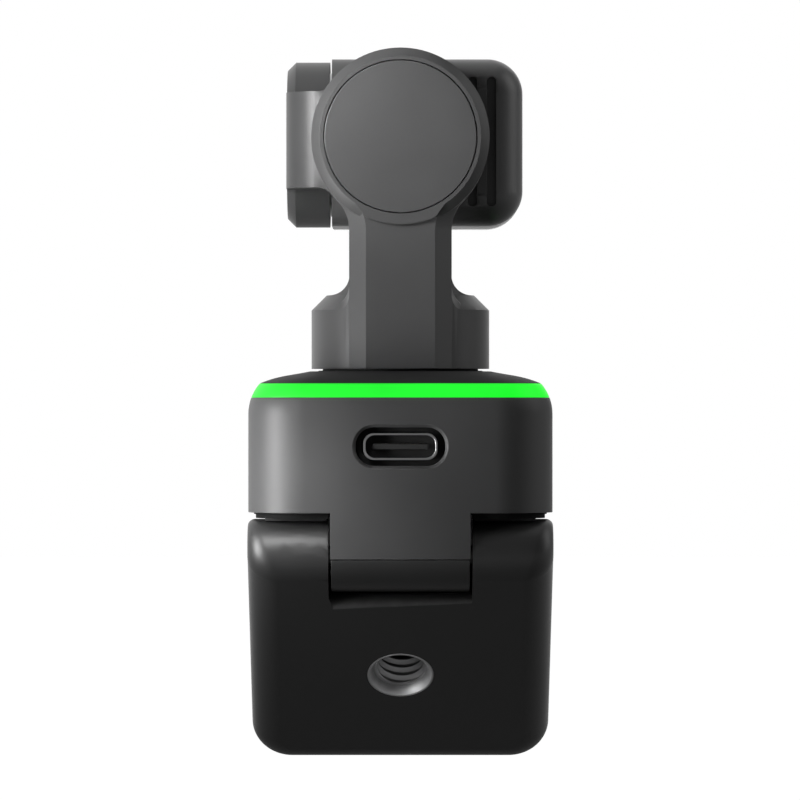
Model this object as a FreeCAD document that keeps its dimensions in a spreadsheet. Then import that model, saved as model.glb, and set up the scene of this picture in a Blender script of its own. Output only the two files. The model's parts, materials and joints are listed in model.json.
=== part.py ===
import FreeCAD, Part
import math
import os
import re

import Sketcher
from FreeCAD import Rotation, Vector

# Webcam with a three-axis gimbal on a clip base, in millimetres.
# The lens looks along -Y, +Z is up, and the origin is on the face that sits on the monitor's edge.

SIZES = {
    # base casing
    "base_width": 36.9,
    "base_depth": 40.0,
    "base_corner": 7.0,
    "base_wall": 1.6,
    "shell_bottom_z": 0.4,
    "shoulder_start_z": 12.3,
    "shoulder_radius": 5.67,
    "strip_start_rise": 2.0,
    "strip_height": 1.7,
    "strip_inner_inset": 3.0,
    "dome_low_rise": 0.55,
    "dome_low_inset": 2.85,
    "dome_mid_rise": 1.05,
    "dome_mid_inset": 5.0,
    "dome_rise": 1.5,
    "dome_top_inset": 7.4,
    "dome_corner": 5.0,
    "neck_radius": 10.15,
    "neck_height": 0.12,
    "collar_gap": 0.4,
    "collar_wall": 1.0,
    "collar_height": 0.9,
    "lid_skirt_wall": 1.2,
    "lid_skirt_drop": 2.4,
    "lid_roof": 2.3,
    "fit_gap": 0.1,
    "seat_gap": 0.02,
    # base underside
    "plate_inset": 0.7,
    "plate_lip": 0.2,
    "plate_thickness": 1.4,
    "land_inset": 0.92,
    "land_gap": 0.07,
    "land_pad_gap": 0.5,
    "seat_pad_width": 24.0,
    "seat_pad_lip_gap": 2.6,
    "seat_pad_hinge_gap": 2.5,
    "seat_pad_thickness": 0.9,
    "pad_corner": 2.0,
    "lip_side_inset": 6.45,
    "lip_setback": 5.0,
    "lip_thickness": 2.2,
    "lip_depth": 5.0,
    "lip_tenon_width": 15.0,
    "lip_tenon_wall": 0.4,
    "lip_tenon_stand": 0.6,
    "lip_corner": 0.9,
    "lip_edge": 0.5,
    "lip_pad_thickness": 0.8,
    "lip_pad_margin": 0.6,
    # screws of the base and its board
    "boss_radius": 2.7,
    "boss_height": 5.2,
    "boss_merge": 0.23,
    "screw_radius": 0.8,
    "screw_head_radius": 1.5,
    "screw_head_height": 0.7,
    "screw_drive_radius": 0.6,
    "screw_drive_depth": 0.4,
    "base_screw_length": 5.0,
    "small_screw_radius": 0.5,
    "small_screw_head_radius": 0.95,
    "small_screw_head_height": 0.45,
    "small_screw_drive_radius": 0.4,
    "small_screw_drive_depth": 0.25,
    "small_screw_length": 2.4,
    "cover_screw_inset": 1.2,
    "hub_screw_inset": 2.0,
    "standoff_side_inset": 5.5,
    "standoff_end_inset": 5.2,
    "standoff_radius": 1.9,
    "board_screw_length": 2.6,
    # board, port and electronics
    "board_side_gap": 1.35,
    "board_end_gap": 1.6,
    "board_thickness": 1.0,
    "board_relief": 0.3,
    "board_corner": 1.5,
    "chip_offset": 3.0,
    "port_height_z": 8.4,
    "port_side_gap": 0.93,
    "port_end_gap": 0.695,
    "port_cut_flat": 0.125,
    "port_cut_bevel": 0.35,
    "port_shell_width": 8.94,
    "port_shell_height": 3.26,
    "port_shell_wall": 0.3,
    "port_shell_flat": 0.13,
    "port_recess": 0.6,
    "port_length": 7.2,
    "port_back_wall": 0.8,
    "tongue_width": 6.69,
    "tongue_thickness": 0.7,
    "tongue_setback": 0.7,
    "chip_size": 9.0,
    "chip_height": 1.0,
    "heat_plate_size": 14.0,
    "heat_plate_height": 0.8,
    "microphone_spacing": 12.0,
    "microphone_drop": 1.9,
    "microphone_size": 2.4,
    "microphone_depth": 1.0,
    "sound_hole_radius": 0.5,
    "touch_board_width": 8.0,
    "touch_board_height": 3.6,
    "touch_board_thickness": 0.4,
    "led_board_thickness": 0.6,
    "lamp_length": 1.8,
    "lamp_width": 0.8,
    "lamp_height": 0.7,
    "lamp_pitch": 6.0,
    # clip hinge
    "hinge_radius": 4.4,
    "hinge_rear_setback": 0.1,
    "foot_top_gap": 0.35,
    "lug_width": 16.85,
    "lug_seam_drop": 0.4,
    "lug_gap": 0.25,
    "barrel_side_step": 0.07,
    "seam_gap": 0.05,
    "pin_radius": 1.25,
    "pin_end_wall": 2.95,
    "running_gap": 0.05,
    "sleeve_radius": 2.6,
    "sleeve_length": 5.0,
    # clip foot, measured from the hinge axis
    "foot_inner_drop": 0.45,
    "foot_edge_flat": 0.7,
    "foot_inner_edge": 0.6,
    "foot_end_corner": 5.0,
    "foot_end_setback": 0.45,
    "foot_wall": 1.85,
    "foot_side_wall": 2.4,
    "foot_end_wall": 1.9,
    "foot_web": 2.0,
    "foot_hollow_corner": 3.0,
    "notch_depth": 3.8,
    "notch_clearance": 0.35,
    "foot_rest_angle": 43.0,
    "clamp_inset": 1.825,
    "inner_plate_end_gap": 4.5,
    "inner_plate_drop": 1.0,
    "inner_plate_thickness": 1.2,
    "foot_pad_length": 15.0,
    "foot_pad_end_margin": 0.6,
    "foot_pad_side_gap": 3.05,
    "foot_pad_thickness": 1.2,
    "foot_screw_side_inset": 2.05,
    "foot_screw_inset": 3.0,
    "foot_screw_floor": 0.6,
    "foot_boss_radius": 1.9,
    "tripod_reach": 17.3,
    "tripod_bore_radius": 2.6,
    "tripod_bush_radius": 4.1,
    "tripod_bush_length": 5.2,
    "tripod_mouth_radius": 3.25,
    "tripod_boss_wall": 1.3,
    # pan turret and arm
    "turret_gap": 0.23,
    "turret_radius": 10.98,
    "turret_wall": 0.98,
    "turret_height": 9.05,
    "turret_chamfer": 1.85,
    "turret_roof": 2.5,
    "arm_width": 12.5,
    "arm_rear_y": 12.0,
    "arm_depth": 5.0,
    "arm_chamfer": 2.05,
    "arm_root_fillet": 2.4,
    "arm_flare_reach": 6.0,
    "arm_cover_side_step": 1.05,
    "arm_cover_thickness": 1.0,
    "arm_cover_bottom": 0.4,
    "arm_cover_top_gap": 0.25,
    "arm_cavity_wall": 0.3,
    "arm_cavity_depth": 2.4,
    "arm_cavity_margin": 0.7,
    "cable_side_gap": 0.5,
    "cable_thickness": 0.3,
    "post_radius": 2.8,
    "post_bore_radius": 1.6,
    "post_flange_radius": 5.6,
    "post_flange_thickness": 1.0,
    "bearing_radius": 5.0,
    "bearing_width": 1.9,
    "bearing_drop": 0.4,
    "magnet_end_gap": 0.3,
    "shaft_end_gap": 0.1,
    "shaft_seat_depth": 2.0,
    # motors: coil ring inside a magnet ring
    "motor_lift": 1.0,
    "pan_motor_length": 4.5,
    "pan_magnet_wall": 1.6,
    "motor_air_gap": 0.3,
    "magnet_rim_gap": 0.35,
    "coil_slot_count": 9,
    "coil_slot_width": 1.1,
    "coil_hub_wall": 1.6,
    # roll housing and hub
    "roll_axis_rise": 19.1,
    "roll_housing_radius": 10.85,
    "roll_housing_bevel": 1.05,
    "roll_housing_proud": 0.6,
    "roll_housing_wall": 1.1,
    "apron_step": 0.2,
    "apron_spread": 1.25,
    "blend_radius": 5.3,
    "cap_rim": 0.55,
    "cap_thickness": 1.0,
    "cap_seam": 0.12,
    "roll_back_wall": 0.9,
    "roll_gap": 0.3,
    "shaft_radius": 1.5,
    "small_bearing_radius": 2.6,
    "small_bearing_width": 1.6,
    "magnet_wall": 1.3,
    "roll_motor_length": 3.0,
    "hub_depth": 3.8,
    "hub_cover_radius": 7.6,
    "hub_cover_thickness": 0.8,
    # side arm that carries the tilt motor
    "band_height": 11.8,
    "band_step": 1.4,
    "band_outer_round": 4.6,
    "band_root_fillet": 2.2,
    "tilt_axis_reach": 10.7,
    "tilt_housing_step": 0.05,
    "tilt_housing_thickness": 5.3,
    "tilt_housing_chamfer": 1.05,
    "tilt_housing_wall": 1.0,
    "tilt_gap": 0.3,
    "tilt_cap_rim": 0.9,
    "tilt_cap_thickness": 0.6,
    "tilt_motor_length": 3.0,
    # camera head
    "head_left_x": 8.5,
    "head_width": 23.7,
    "head_height": 20.8,
    "head_rear_reach": 10.0,
    "head_front_reach": 10.3,
    "head_corner": 4.4,
    "head_edge_step": 0.4,
    "head_front_edge": 2.4,
    "head_wall": 1.4,
    "head_front_wall": 2.4,
    "head_rear_wall": 3.2,
    "head_inner_corner": 1.5,
    "head_split_reach": 4.6,
    "fin_count": 8,
    "fin_groove": 1.15,
    "fin_depth": 1.7,
    "fin_first_inset": 3.35,
    "fin_last_inset": 2.68,
    "fin_margin": 2.4,
    "fin_end_round": 0.5,
    "lens_ring_radius": 7.6,
    "lens_ring_width": 1.0,
    "lens_ring_proud": 0.5,
    "lens_ring_depth": 1.2,
    "lens_ring_edge": 0.3,
    "glass_thickness": 0.6,
    "glass_setback": 0.3,
    "lens_barrel_radius": 5.4,
    "lens_barrel_bore": 4.4,
    "lens_barrel_length": 7.4,
    "lens_count": 3,
    "lens_curve_radius": 15.0,
    "lens_rim": 0.5,
    "lens_first": 1.5,
    "lens_spacing": 2.2,
    "holder_side_gap": 0.2,
    "holder_depth": 2.6,
    "sensor_size": 7.0,
    "sensor_thickness": 0.6,
    "sensor_board_side_gap": 0.95,
    "sensor_board_end_gap": 1.15,
    "sensor_board_thickness": 0.8,
    "head_plate_side_gap": 0.3,
    "head_plate_thickness": 0.7,
    "head_post_radius": 1.5,
    "head_screw_inset": 1.5,
    "snap_rim_wall": 0.8,
    "snap_rim_length": 1.6,
    "head_screw_length": 3.6,
}

# Places worked out from the sizes above; each may use the ones before it.
PLACES = {
    "half_width": "base_width / 2",
    "half_depth": "base_depth / 2",
    "shoulder_top": "shoulder_start_z + shoulder_radius",
    "strip_bottom_z": "shoulder_start_z + strip_start_rise",
    "strip_top_z": "strip_bottom_z + strip_height",
    "strip_top_inset": "shoulder_radius - sqrt(shoulder_radius ^ 2 - (strip_top_z - shoulder_start_z) ^ 2)",
    "dome_top_z": "strip_top_z + dome_rise",
    "neck_top_z": "dome_top_z + neck_height",
    "collar_radius": "turret_radius - turret_wall - collar_gap",
    "lid_ceiling_z": "dome_top_z - lid_roof",
    "skirt_inset": "strip_inner_inset + fit_gap",
    "plate_bottom_z": "shell_bottom_z - plate_lip",
    "plate_top_z": "plate_bottom_z + plate_thickness",
    "port_bottom_z": "port_height_z - port_shell_height / 2",
    "board_bottom_z": "port_bottom_z - board_thickness",
    "board_half_width": "half_width - base_wall - board_side_gap",
    "board_half_depth": "half_depth - base_wall - board_end_gap",
    "standoff_x": "board_half_width - standoff_side_inset",
    "standoff_y": "board_half_depth - standoff_end_inset",
    "boss_reach": "(base_corner - base_wall - boss_radius + boss_merge) / sqrt(2)",
    "boss_x": "half_width - base_corner + boss_reach",
    "boss_y": "half_depth - base_corner + boss_reach",
    "led_board_z": "strip_bottom_z - fit_gap - lamp_height - led_board_thickness",
    "microphone_x": "microphone_spacing / 2",
    "microphone_z": "led_board_z - microphone_drop",
    "port_cut_width": "port_shell_width + 2 * port_side_gap",
    "port_cut_height": "port_shell_height + 2 * port_end_gap",
    "port_cut_corner": "port_cut_height / 2 - port_cut_flat",
    "port_shell_corner": "port_shell_height / 2 - port_shell_flat",
    "chip_top_z": "port_bottom_z + chip_height",
    "port_mouth_y": "half_depth - port_recess",
    "port_back_y": "port_mouth_y - port_length",
    "inner_front_y": "half_depth - base_wall",
    "hinge_y": "half_depth - hinge_radius - hinge_rear_setback",
    "hinge_z": "-(hinge_radius + foot_top_gap)",
    "lip_rear": "half_depth - lip_setback",
    "lip_width": "base_width - 2 * lip_side_inset",
    "seat_pad_front": "lip_rear - seat_pad_lip_gap",
    "seat_pad_rear": "hinge_y - hinge_radius - seat_pad_hinge_gap",
    "land_bottom_z": "land_gap - foot_top_gap",
    "land_front_y": "seat_pad_rear + land_pad_gap",
    "pin_length": "base_width - 2 * pin_end_wall",
    "clamp_length": "pin_length / 2 - lug_width / 2 - lug_gap - clamp_inset",
    "lug_bottom_z": "hinge_z - lug_seam_drop",
    "foot_length": "hinge_y + half_depth - foot_end_setback",
    "foot_inner": "hinge_radius - foot_inner_drop",
    "foot_edge": "hinge_radius - foot_edge_flat",
    "foot_hollow_start": "hinge_radius + foot_web",
    "foot_floor": "foot_wall - hinge_radius",
    "inner_plate_top": "foot_inner - inner_plate_drop",
    "inner_plate_bottom": "inner_plate_top - inner_plate_thickness",
    "foot_hollow_end": "foot_length - foot_end_wall",
    "foot_hollow_half": "half_width - foot_side_wall",
    "inner_plate_reach": "foot_hollow_end - inner_plate_end_gap",
    "foot_pad_end": "inner_plate_reach - foot_pad_end_margin",
    "foot_pad_half": "foot_hollow_half - foot_pad_side_gap",
    "foot_screw_x": "foot_hollow_half - foot_screw_side_inset",
    "turret_bottom_z": "neck_top_z + turret_gap",
    "turret_top_z": "turret_bottom_z + turret_height",
    "turret_ceiling_z": "turret_top_z - turret_roof",
    "pan_motor_z": "turret_bottom_z + motor_lift",
    "pan_magnet_outer": "turret_radius - turret_wall - running_gap",
    "pan_magnet_inner": "pan_magnet_outer - pan_magnet_wall",
    "pan_coil_radius": "pan_magnet_inner - motor_air_gap",
    "pan_bearing_z": "turret_ceiling_z - bearing_drop",
    "roll_axis_z": "turret_top_z + roll_axis_rise",
    "arm_front_y": "arm_rear_y - arm_depth",
    "arm_half": "arm_width / 2",
    "arm_flat_half": "arm_half - arm_chamfer",
    "arm_side_y": "arm_rear_y - arm_chamfer",
    "flare_radius": "turret_radius - turret_chamfer",
    "flare_front_y": "arm_front_y - arm_flare_reach",
    "flare_front_x": "sqrt(flare_radius ^ 2 - flare_front_y ^ 2)",
    "flare_rear_x": "sqrt(flare_radius ^ 2 - arm_front_y ^ 2)",
    "flare_top_z": "turret_top_z + arm_root_fillet",
    "roll_rear_y": "arm_rear_y + roll_housing_proud",
    "bevel_start_y": "roll_rear_y - roll_housing_bevel",
    "cap_seat_y": "roll_rear_y - cap_thickness - fit_gap",
    "roll_cup_y": "cap_seat_y - roll_back_wall",
    "roll_cup_radius": "roll_housing_radius - roll_housing_wall",
    "roll_magnet_outer": "roll_cup_radius - magnet_rim_gap",
    "roll_magnet_inner": "roll_magnet_outer - magnet_wall",
    "roll_coil_radius": "roll_magnet_inner - motor_air_gap",
    "cap_radius": "roll_housing_radius - roll_housing_bevel - cap_rim",
    "ring_radius": "cap_radius + cap_rim",
    "apron_radius": "roll_housing_radius - apron_step",
    "apron_low_z": "roll_axis_z - sqrt(apron_radius ^ 2 - arm_flat_half ^ 2)",
    "apron_top_x": "arm_flat_half + apron_spread",
    "apron_top_z": "roll_axis_z - sqrt(ring_radius ^ 2 - apron_top_x ^ 2)",
    "blend_share": "roll_housing_radius / (roll_housing_radius + blend_radius)",
    "blend_drop": "sqrt((roll_housing_radius + blend_radius) ^ 2 - (arm_half + blend_radius) ^ 2)",
    "blend_low_z": "roll_axis_z - blend_drop",
    "blend_top_x": "(arm_half + blend_radius) * blend_share",
    "blend_top_z": "roll_axis_z - blend_drop * blend_share",
    "blend_flat_radius": "(apron_spread ^ 2 + (apron_top_z - blend_low_z) ^ 2) / (2 * apron_spread)",
    "arm_cover_low": "flare_top_z + arm_cover_bottom",
    "arm_cover_high": "roll_axis_z - roll_housing_radius - arm_cover_top_gap",
    "arm_cover_half": "arm_width / 2 - arm_cover_side_step",
    "arm_cavity_half": "arm_cover_half - cover_screw_inset - small_screw_radius - arm_cavity_wall",
    "hub_screw_ring": "hub_cover_radius - hub_screw_inset",
    "hub_rear_y": "arm_front_y - roll_gap",
    "hub_front_y": "hub_rear_y - hub_depth",
    "band_rear_y": "hub_rear_y - band_step",
    "gusset_foot_x": "sqrt((roll_housing_radius + band_root_fillet) ^ 2"
                     " - (band_height / 2 + band_root_fillet) ^ 2)",
    "gusset_share": "roll_housing_radius / (roll_housing_radius + band_root_fillet)",
    "gusset_tip_x": "gusset_foot_x * gusset_share",
    "gusset_tip_rise": "(band_height / 2 + band_root_fillet) * gusset_share",
    "tilt_axis_y": "-tilt_axis_reach",
    "tilt_housing_radius": "head_height / 2 - tilt_housing_step",
    "tilt_inner_x": "head_left_x + tilt_gap",
    "tilt_outer_x": "tilt_inner_x + tilt_housing_thickness",
    "tilt_cap_x": "tilt_outer_x - tilt_cap_thickness",
    "tilt_cup_x": "tilt_cap_x - tilt_housing_wall",
    "tilt_cup_radius": "tilt_housing_radius - tilt_housing_wall",
    "tilt_magnet_outer": "tilt_cup_radius - magnet_rim_gap",
    "tilt_magnet_inner": "tilt_magnet_outer - magnet_wall",
    "tilt_coil_radius": "tilt_magnet_inner - motor_air_gap",
    "tilt_cap_radius": "tilt_housing_radius - tilt_housing_chamfer - tilt_cap_rim",
    "head_right_x": "head_left_x - head_width",
    "head_centre_x": "head_left_x - head_width / 2",
    "head_rear_y": "tilt_axis_y + head_rear_reach",
    "head_front_y": "tilt_axis_y - head_front_reach",
    "head_split_y": "tilt_axis_y - head_split_reach",
    "head_top_z": "roll_axis_z + head_height / 2",
    "head_rear_edge": "head_corner - head_edge_step",
    "fin_pitch": "(head_width - fin_first_inset - fin_last_inset - fin_groove) / (fin_count - 1)",
    "head_bottom_z": "roll_axis_z - head_height / 2",
    "glass_front_y": "head_front_y + glass_setback",
    "glass_rear_y": "glass_front_y + glass_thickness",
    "barrel_front_y": "glass_rear_y + fit_gap",
    "barrel_rear_y": "barrel_front_y + lens_barrel_length",
    "holder_rear_y": "barrel_rear_y + holder_depth",
    "sensor_board_y": "holder_rear_y + sensor_board_thickness",
    "sensor_board_half": "head_width / 2 - head_wall - sensor_board_side_gap",
    "sensor_board_half_height": "head_height / 2 - head_wall - sensor_board_end_gap",
    "head_screw_x": "sensor_board_half - head_screw_inset",
    "head_screw_z": "sensor_board_half_height - head_screw_inset",
    "holder_half": "head_screw_x - screw_head_radius - holder_side_gap",
    "head_plate_half": "head_screw_x - head_post_radius - head_plate_side_gap",
}

PARTS_FOLDER = "parts"
SMALL = 1e-4
OVERRUN = 1.0  # how far a cut runs past the face that it opens
LAMP_STEPS = 2  # lamps on each side of a row's middle one

doc = FreeCAD.newDocument("webcam")
NODES = []


# Sheets and formulas

def fill_sheet(title, rows):
    sheet = doc.addObject("Spreadsheet::Sheet", title)
    for row, (alias, content) in enumerate(rows, start=1):
        sheet.set("A%d" % row, alias)
        sheet.set("B%d" % row, content)
        sheet.setAlias("B%d" % row, alias)
    doc.recompute()
    return sheet


def formula(text):
    """Put the sheet's name before every size and place in a formula."""
    def with_sheet(match):
        word = match.group(0)
        if word == "overrun":
            return str(OVERRUN)
        if word in SIZES:
            return "Sizes." + word
        if word in PLACES:
            return "Places." + word
        return word
    return re.sub(r"[a-z_]+", with_sheet, str(text))


sizes_sheet = fill_sheet("Sizes", [(alias, str(number)) for alias, number in SIZES.items()])
places_sheet = fill_sheet("Places", [(alias, "=" + formula(text)) for alias, text in PLACES.items()])


def value(text):
    """The present length of a formula, read from the sheets."""
    return float(sizes_sheet.evalExpression(formula(text)))


# Sketches: each is drawn across X, Y or Z, with the two other axes in alphabetical order

PLANES = {"X": ("YZ_Plane", ""), "Y": ("XZ_Plane", "-"), "Z": ("XY_Plane", "")}


def new_body(label):
    return doc.addObject("PartDesign::Body", label)


def new_sketch(body, name, axis, level, shapes):
    role, sign = PLANES[axis]
    sketch = body.newObject("Sketcher::SketchObject", body.Name + "_" + name + "_sketch")
    plane = [feature for feature in body.Origin.OriginFeatures if feature.Role == role][0]
    sketch.AttachmentSupport = [(plane, "")]
    sketch.MapMode = "FlatFace"
    sketch.setExpression("AttachmentOffset.Base.z", formula("%s(%s)" % (sign, level)))
    for draw in shapes:
        draw(sketch)
    return sketch


def bind(sketch, constraint, text):
    index = sketch.addConstraint(constraint)
    sketch.setExpression("Constraints[%d]" % index, formula(text))


def pin_point(sketch, geometry, point, a, b):
    bind(sketch, Sketcher.Constraint("DistanceX", -1, 1, geometry, point, value(a)), a)
    bind(sketch, Sketcher.Constraint("DistanceY", -1, 1, geometry, point, value(b)), b)


def circle(a, b, radius):
    def draw(sketch):
        centre = Vector(value(a), value(b), 0)
        geometry = sketch.addGeometry(Part.Circle(centre, Vector(0, 0, 1), value(radius)), False)
        pin_point(sketch, geometry, 3, a, b)
        bind(sketch, Sketcher.Constraint("Radius", geometry, value(radius)), radius)
    return draw


def arc_between(start, end, radius, side):
    """The short arc from start to end; side is 1 for counter-clockwise and -1 for clockwise."""
    along = end - start
    half = along.Length / 2
    sagitta = radius - math.sqrt(max(0, radius ** 2 - half ** 2))
    outwards = Vector(along.y, -along.x, 0).normalize() * side
    return Part.Arc(start, (start + end) * 0.5 + outwards * sagitta, end)


def polygon(*corners):
    """A closed outline; a corner with a radius and a side starts an arc instead of a line."""
    def draw(sketch):
        points = [Vector(value(corner[0]), value(corner[1]), 0) for corner in corners]
        sides = []
        for corner, start, end in zip(corners, points, points[1:] + points[:1]):
            if len(corner) == 2:
                geometry = sketch.addGeometry(Part.LineSegment(start, end), False)
                sides.append((geometry, 1, 2))
                continue
            radius, side = corner[2:]
            geometry = sketch.addGeometry(arc_between(start, end, value(radius), side), False)
            sides.append((geometry, 1, 2) if side > 0 else (geometry, 2, 1))
            bind(sketch, Sketcher.Constraint("Radius", geometry, value(radius)), radius)
        for (geometry, first, last), following, corner in zip(sides, sides[1:] + sides[:1], corners):
            sketch.addConstraint(Sketcher.Constraint("Coincident", geometry, last, *following[:2]))
            pin_point(sketch, geometry, first, corner[0], corner[1])
    return draw


def rectangle(a_low, a_high, b_low, b_high):
    return polygon((a_low, b_low), (a_high, b_low), (a_high, b_high), (a_low, b_high))


def rounded(a_low, a_high, b_low, b_high, corner):
    """A rectangle with four round corners."""
    def draw(sketch):
        left, right, low, high = value(a_low), value(a_high), value(b_low), value(b_high)
        radius = value(corner)
        lines = [
            Part.LineSegment(Vector(left + radius, low, 0), Vector(right - radius, low, 0)),
            Part.LineSegment(Vector(right, low + radius, 0), Vector(right, high - radius, 0)),
            Part.LineSegment(Vector(right - radius, high, 0), Vector(left + radius, high, 0)),
            Part.LineSegment(Vector(left, high - radius, 0), Vector(left, low + radius, 0)),
        ]
        centres = [(right - radius, low + radius), (right - radius, high - radius),
                   (left + radius, high - radius), (left + radius, low + radius)]
        sides = [sketch.addGeometry(line, False) for line in lines]
        arcs = []
        for turn, (a, b) in enumerate(centres):
            full = Part.Circle(Vector(a, b, 0), Vector(0, 0, 1), radius)
            first = (turn - 1) * math.pi / 2
            arc = Part.ArcOfCircle(full, first, first + math.pi / 2)
            arcs.append(sketch.addGeometry(arc, False))
        for turn, (side, arc) in enumerate(zip(sides, arcs)):
            sketch.addConstraint(Sketcher.Constraint("Tangent", side, 2, arc, 1))
            sketch.addConstraint(Sketcher.Constraint("Tangent", arc, 2, sides[(turn + 1) % 4], 1))
            direction = "Horizontal" if turn % 2 == 0 else "Vertical"
            sketch.addConstraint(Sketcher.Constraint(direction, side))
            bind(sketch, Sketcher.Constraint("Radius", arc, radius), corner)
        for side, direction, level in ((3, "DistanceX", a_low), (1, "DistanceX", a_high),
                                       (0, "DistanceY", b_low), (2, "DistanceY", b_high)):
            bind(sketch, Sketcher.Constraint(direction, -1, 1, sides[side], 1, value(level)), level)
    return draw


def inset_outline(inset, corner=None):
    """The base's plan outline, moved inwards."""
    corner = corner or "base_corner - (%s)" % inset
    return rounded("-half_width + (%s)" % inset, "half_width - (%s)" % inset,
                   "-half_depth + (%s)" % inset, "half_depth - (%s)" % inset, corner)


def whole_plan():
    """An outline that a cut across the whole base uses."""
    return inset_outline("-overrun", "base_corner")


# Features

def pad(body, name, axis, low, high, *shapes):
    level = high if axis == "Y" else low
    sketch = new_sketch(body, name, axis, level, shapes)
    feature = body.newObject("PartDesign::Pad", body.Name + "_" + name)
    feature.Profile = sketch
    feature.setExpression("Length", formula("(%s) - (%s)" % (high, low)))
    return feature


def pocket(body, name, axis, low, high, *shapes):
    level = low if axis == "Y" else high
    sketch = new_sketch(body, name, axis, level, shapes)
    feature = body.newObject("PartDesign::Pocket", body.Name + "_" + name)
    feature.Profile = sketch
    feature.setExpression("Length", formula("(%s) - (%s)" % (high, low)))
    return feature


def edge_names(shape, wanted):
    return ["Edge%d" % number for number, edge in enumerate(shape.Edges, start=1) if wanted(edge)]


def soften(body, kind, name, size, wanted):
    """A fillet or chamfer on the edges of the body so far that pass a test."""
    doc.recompute()
    previous = body.Tip
    feature = body.newObject("PartDesign::" + kind, body.Name + "_" + name)
    feature.Base = (previous, edge_names(previous.Shape, wanted))
    feature.setExpression("Radius" if kind == "Fillet" else "Size", formula(size))
    doc.recompute()
    return feature


def near(number, text):
    return abs(number - value(text)) < SMALL


def on_level(edge, axis, text):
    """True for an edge that lies wholly in a plane across the axis."""
    box = edge.BoundBox
    low, high = {"X": (box.XMin, box.XMax), "Y": (box.YMin, box.YMax), "Z": (box.ZMin, box.ZMax)}[axis]
    return near(low, text) and near(high, text)


def keep(item):
    NODES.append(item)
    return item


def disc_stack(label, axis, spots, *steps):
    """A round piece, or a group of like ones: each step is low, high, outer and inner radius."""
    body = new_body(label)
    for number, (low, high, outer, inner) in enumerate(steps, start=1):
        shapes = [circle(a, b, outer) for a, b in spots]
        if inner:
            shapes += [circle(a, b, inner) for a, b in spots]
        pad(body, "step%d" % number, axis, low, high, *shapes)
    return keep(body)


def screws(label, axis, spots, head_at, tip_at, head_side, kind="screw"):
    """Pan-head screws with a round drive recess; head_side is the head's direction along the axis."""
    body = new_body(label)
    sign = "-" if head_side > 0 else "+"
    under_head = "%s %s %s_head_height" % (head_at, sign, kind)
    drive_floor = "%s %s %s_drive_depth" % (head_at, sign, kind)

    def discs(part):
        return [circle(a, b, "%s_%sradius" % (kind, part)) for a, b in spots]

    def lower_first(one, other):
        return (one, other) if head_side > 0 else (other, one)
    pad(body, "shanks", axis, *lower_first(tip_at, under_head), *discs(""))
    pad(body, "heads", axis, *lower_first(under_head, head_at), *discs("head_"))
    pocket(body, "drives", axis, *lower_first(drive_floor, head_at), *discs("drive_"))
    return keep(body)


def mirrored_spots(a, b):
    return [(a, b), ("-(%s)" % a, b), (a, "-(%s)" % b), ("-(%s)" % a, "-(%s)" % b)]


def coil_ring(label, axis, centre, low, high, outer, inner):
    """A motor's coil ring: slots run in from its rim, one copy of the first turned round the axis."""
    a, b = centre
    body = new_body(label)
    pad(body, "ring", axis, low, high, circle(a, b, outer), circle(a, b, inner))
    slot = pocket(body, "slot", axis, low, high,
                  rectangle("%s - coil_slot_width / 2" % a, "%s + coil_slot_width / 2" % a,
                            "%s + %s + coil_hub_wall" % (b, inner), "%s + %s + overrun" % (b, outer)))
    spindle = body.newObject("PartDesign::Line", label + "_spindle")
    turned = {"X": Rotation(Vector(0, 1, 0), 90), "Y": Rotation(Vector(1, 0, 0), -90), "Z": Rotation()}
    spindle.AttachmentSupport = None
    spindle.MapMode = "Deactivated"
    spindle.Placement.Rotation = turned[axis]
    for letter, text in zip([letter for letter in "XYZ" if letter != axis], (a, b)):
        spindle.setExpression("Placement.Base." + letter.lower(), formula(text))
    doc.recompute()
    pattern = body.newObject("PartDesign::PolarPattern", label + "_slots")
    pattern.Originals = [slot]
    pattern.Axis = (spindle, [""])
    pattern.Angle = 360
    pattern.setExpression("Occurrences", formula("coil_slot_count"))
    body.Tip = pattern
    return keep(body)


def place_on_hinge(item):
    """Foot pieces are drawn folded round the hinge axis; this turns them to the opened rest angle."""
    item.Placement.Rotation = Rotation(Vector(1, 0, 0), value("foot_rest_angle"))
    item.setExpression("Placement.Rotation.Angle", formula("foot_rest_angle"))
    item.setExpression("Placement.Base.y", formula("hinge_y"))
    item.setExpression("Placement.Base.z", formula("hinge_z"))
    return item


# Base casing

def shoulder_blank(body):
    """The casing's outer form: a rounded box whose top edge turns in."""
    pad(body, "blank", "Z", "shell_bottom_z", "shoulder_top", inset_outline("0", "base_corner"))
    soften(body, "Fillet", "shoulder", "shoulder_radius", lambda edge: on_level(edge, "Z", "shoulder_top"))


def boss_spots():
    return mirrored_spots("boss_x", "boss_y")


def standoff_spots():
    return mirrored_spots("standoff_x", "standoff_y")


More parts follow.
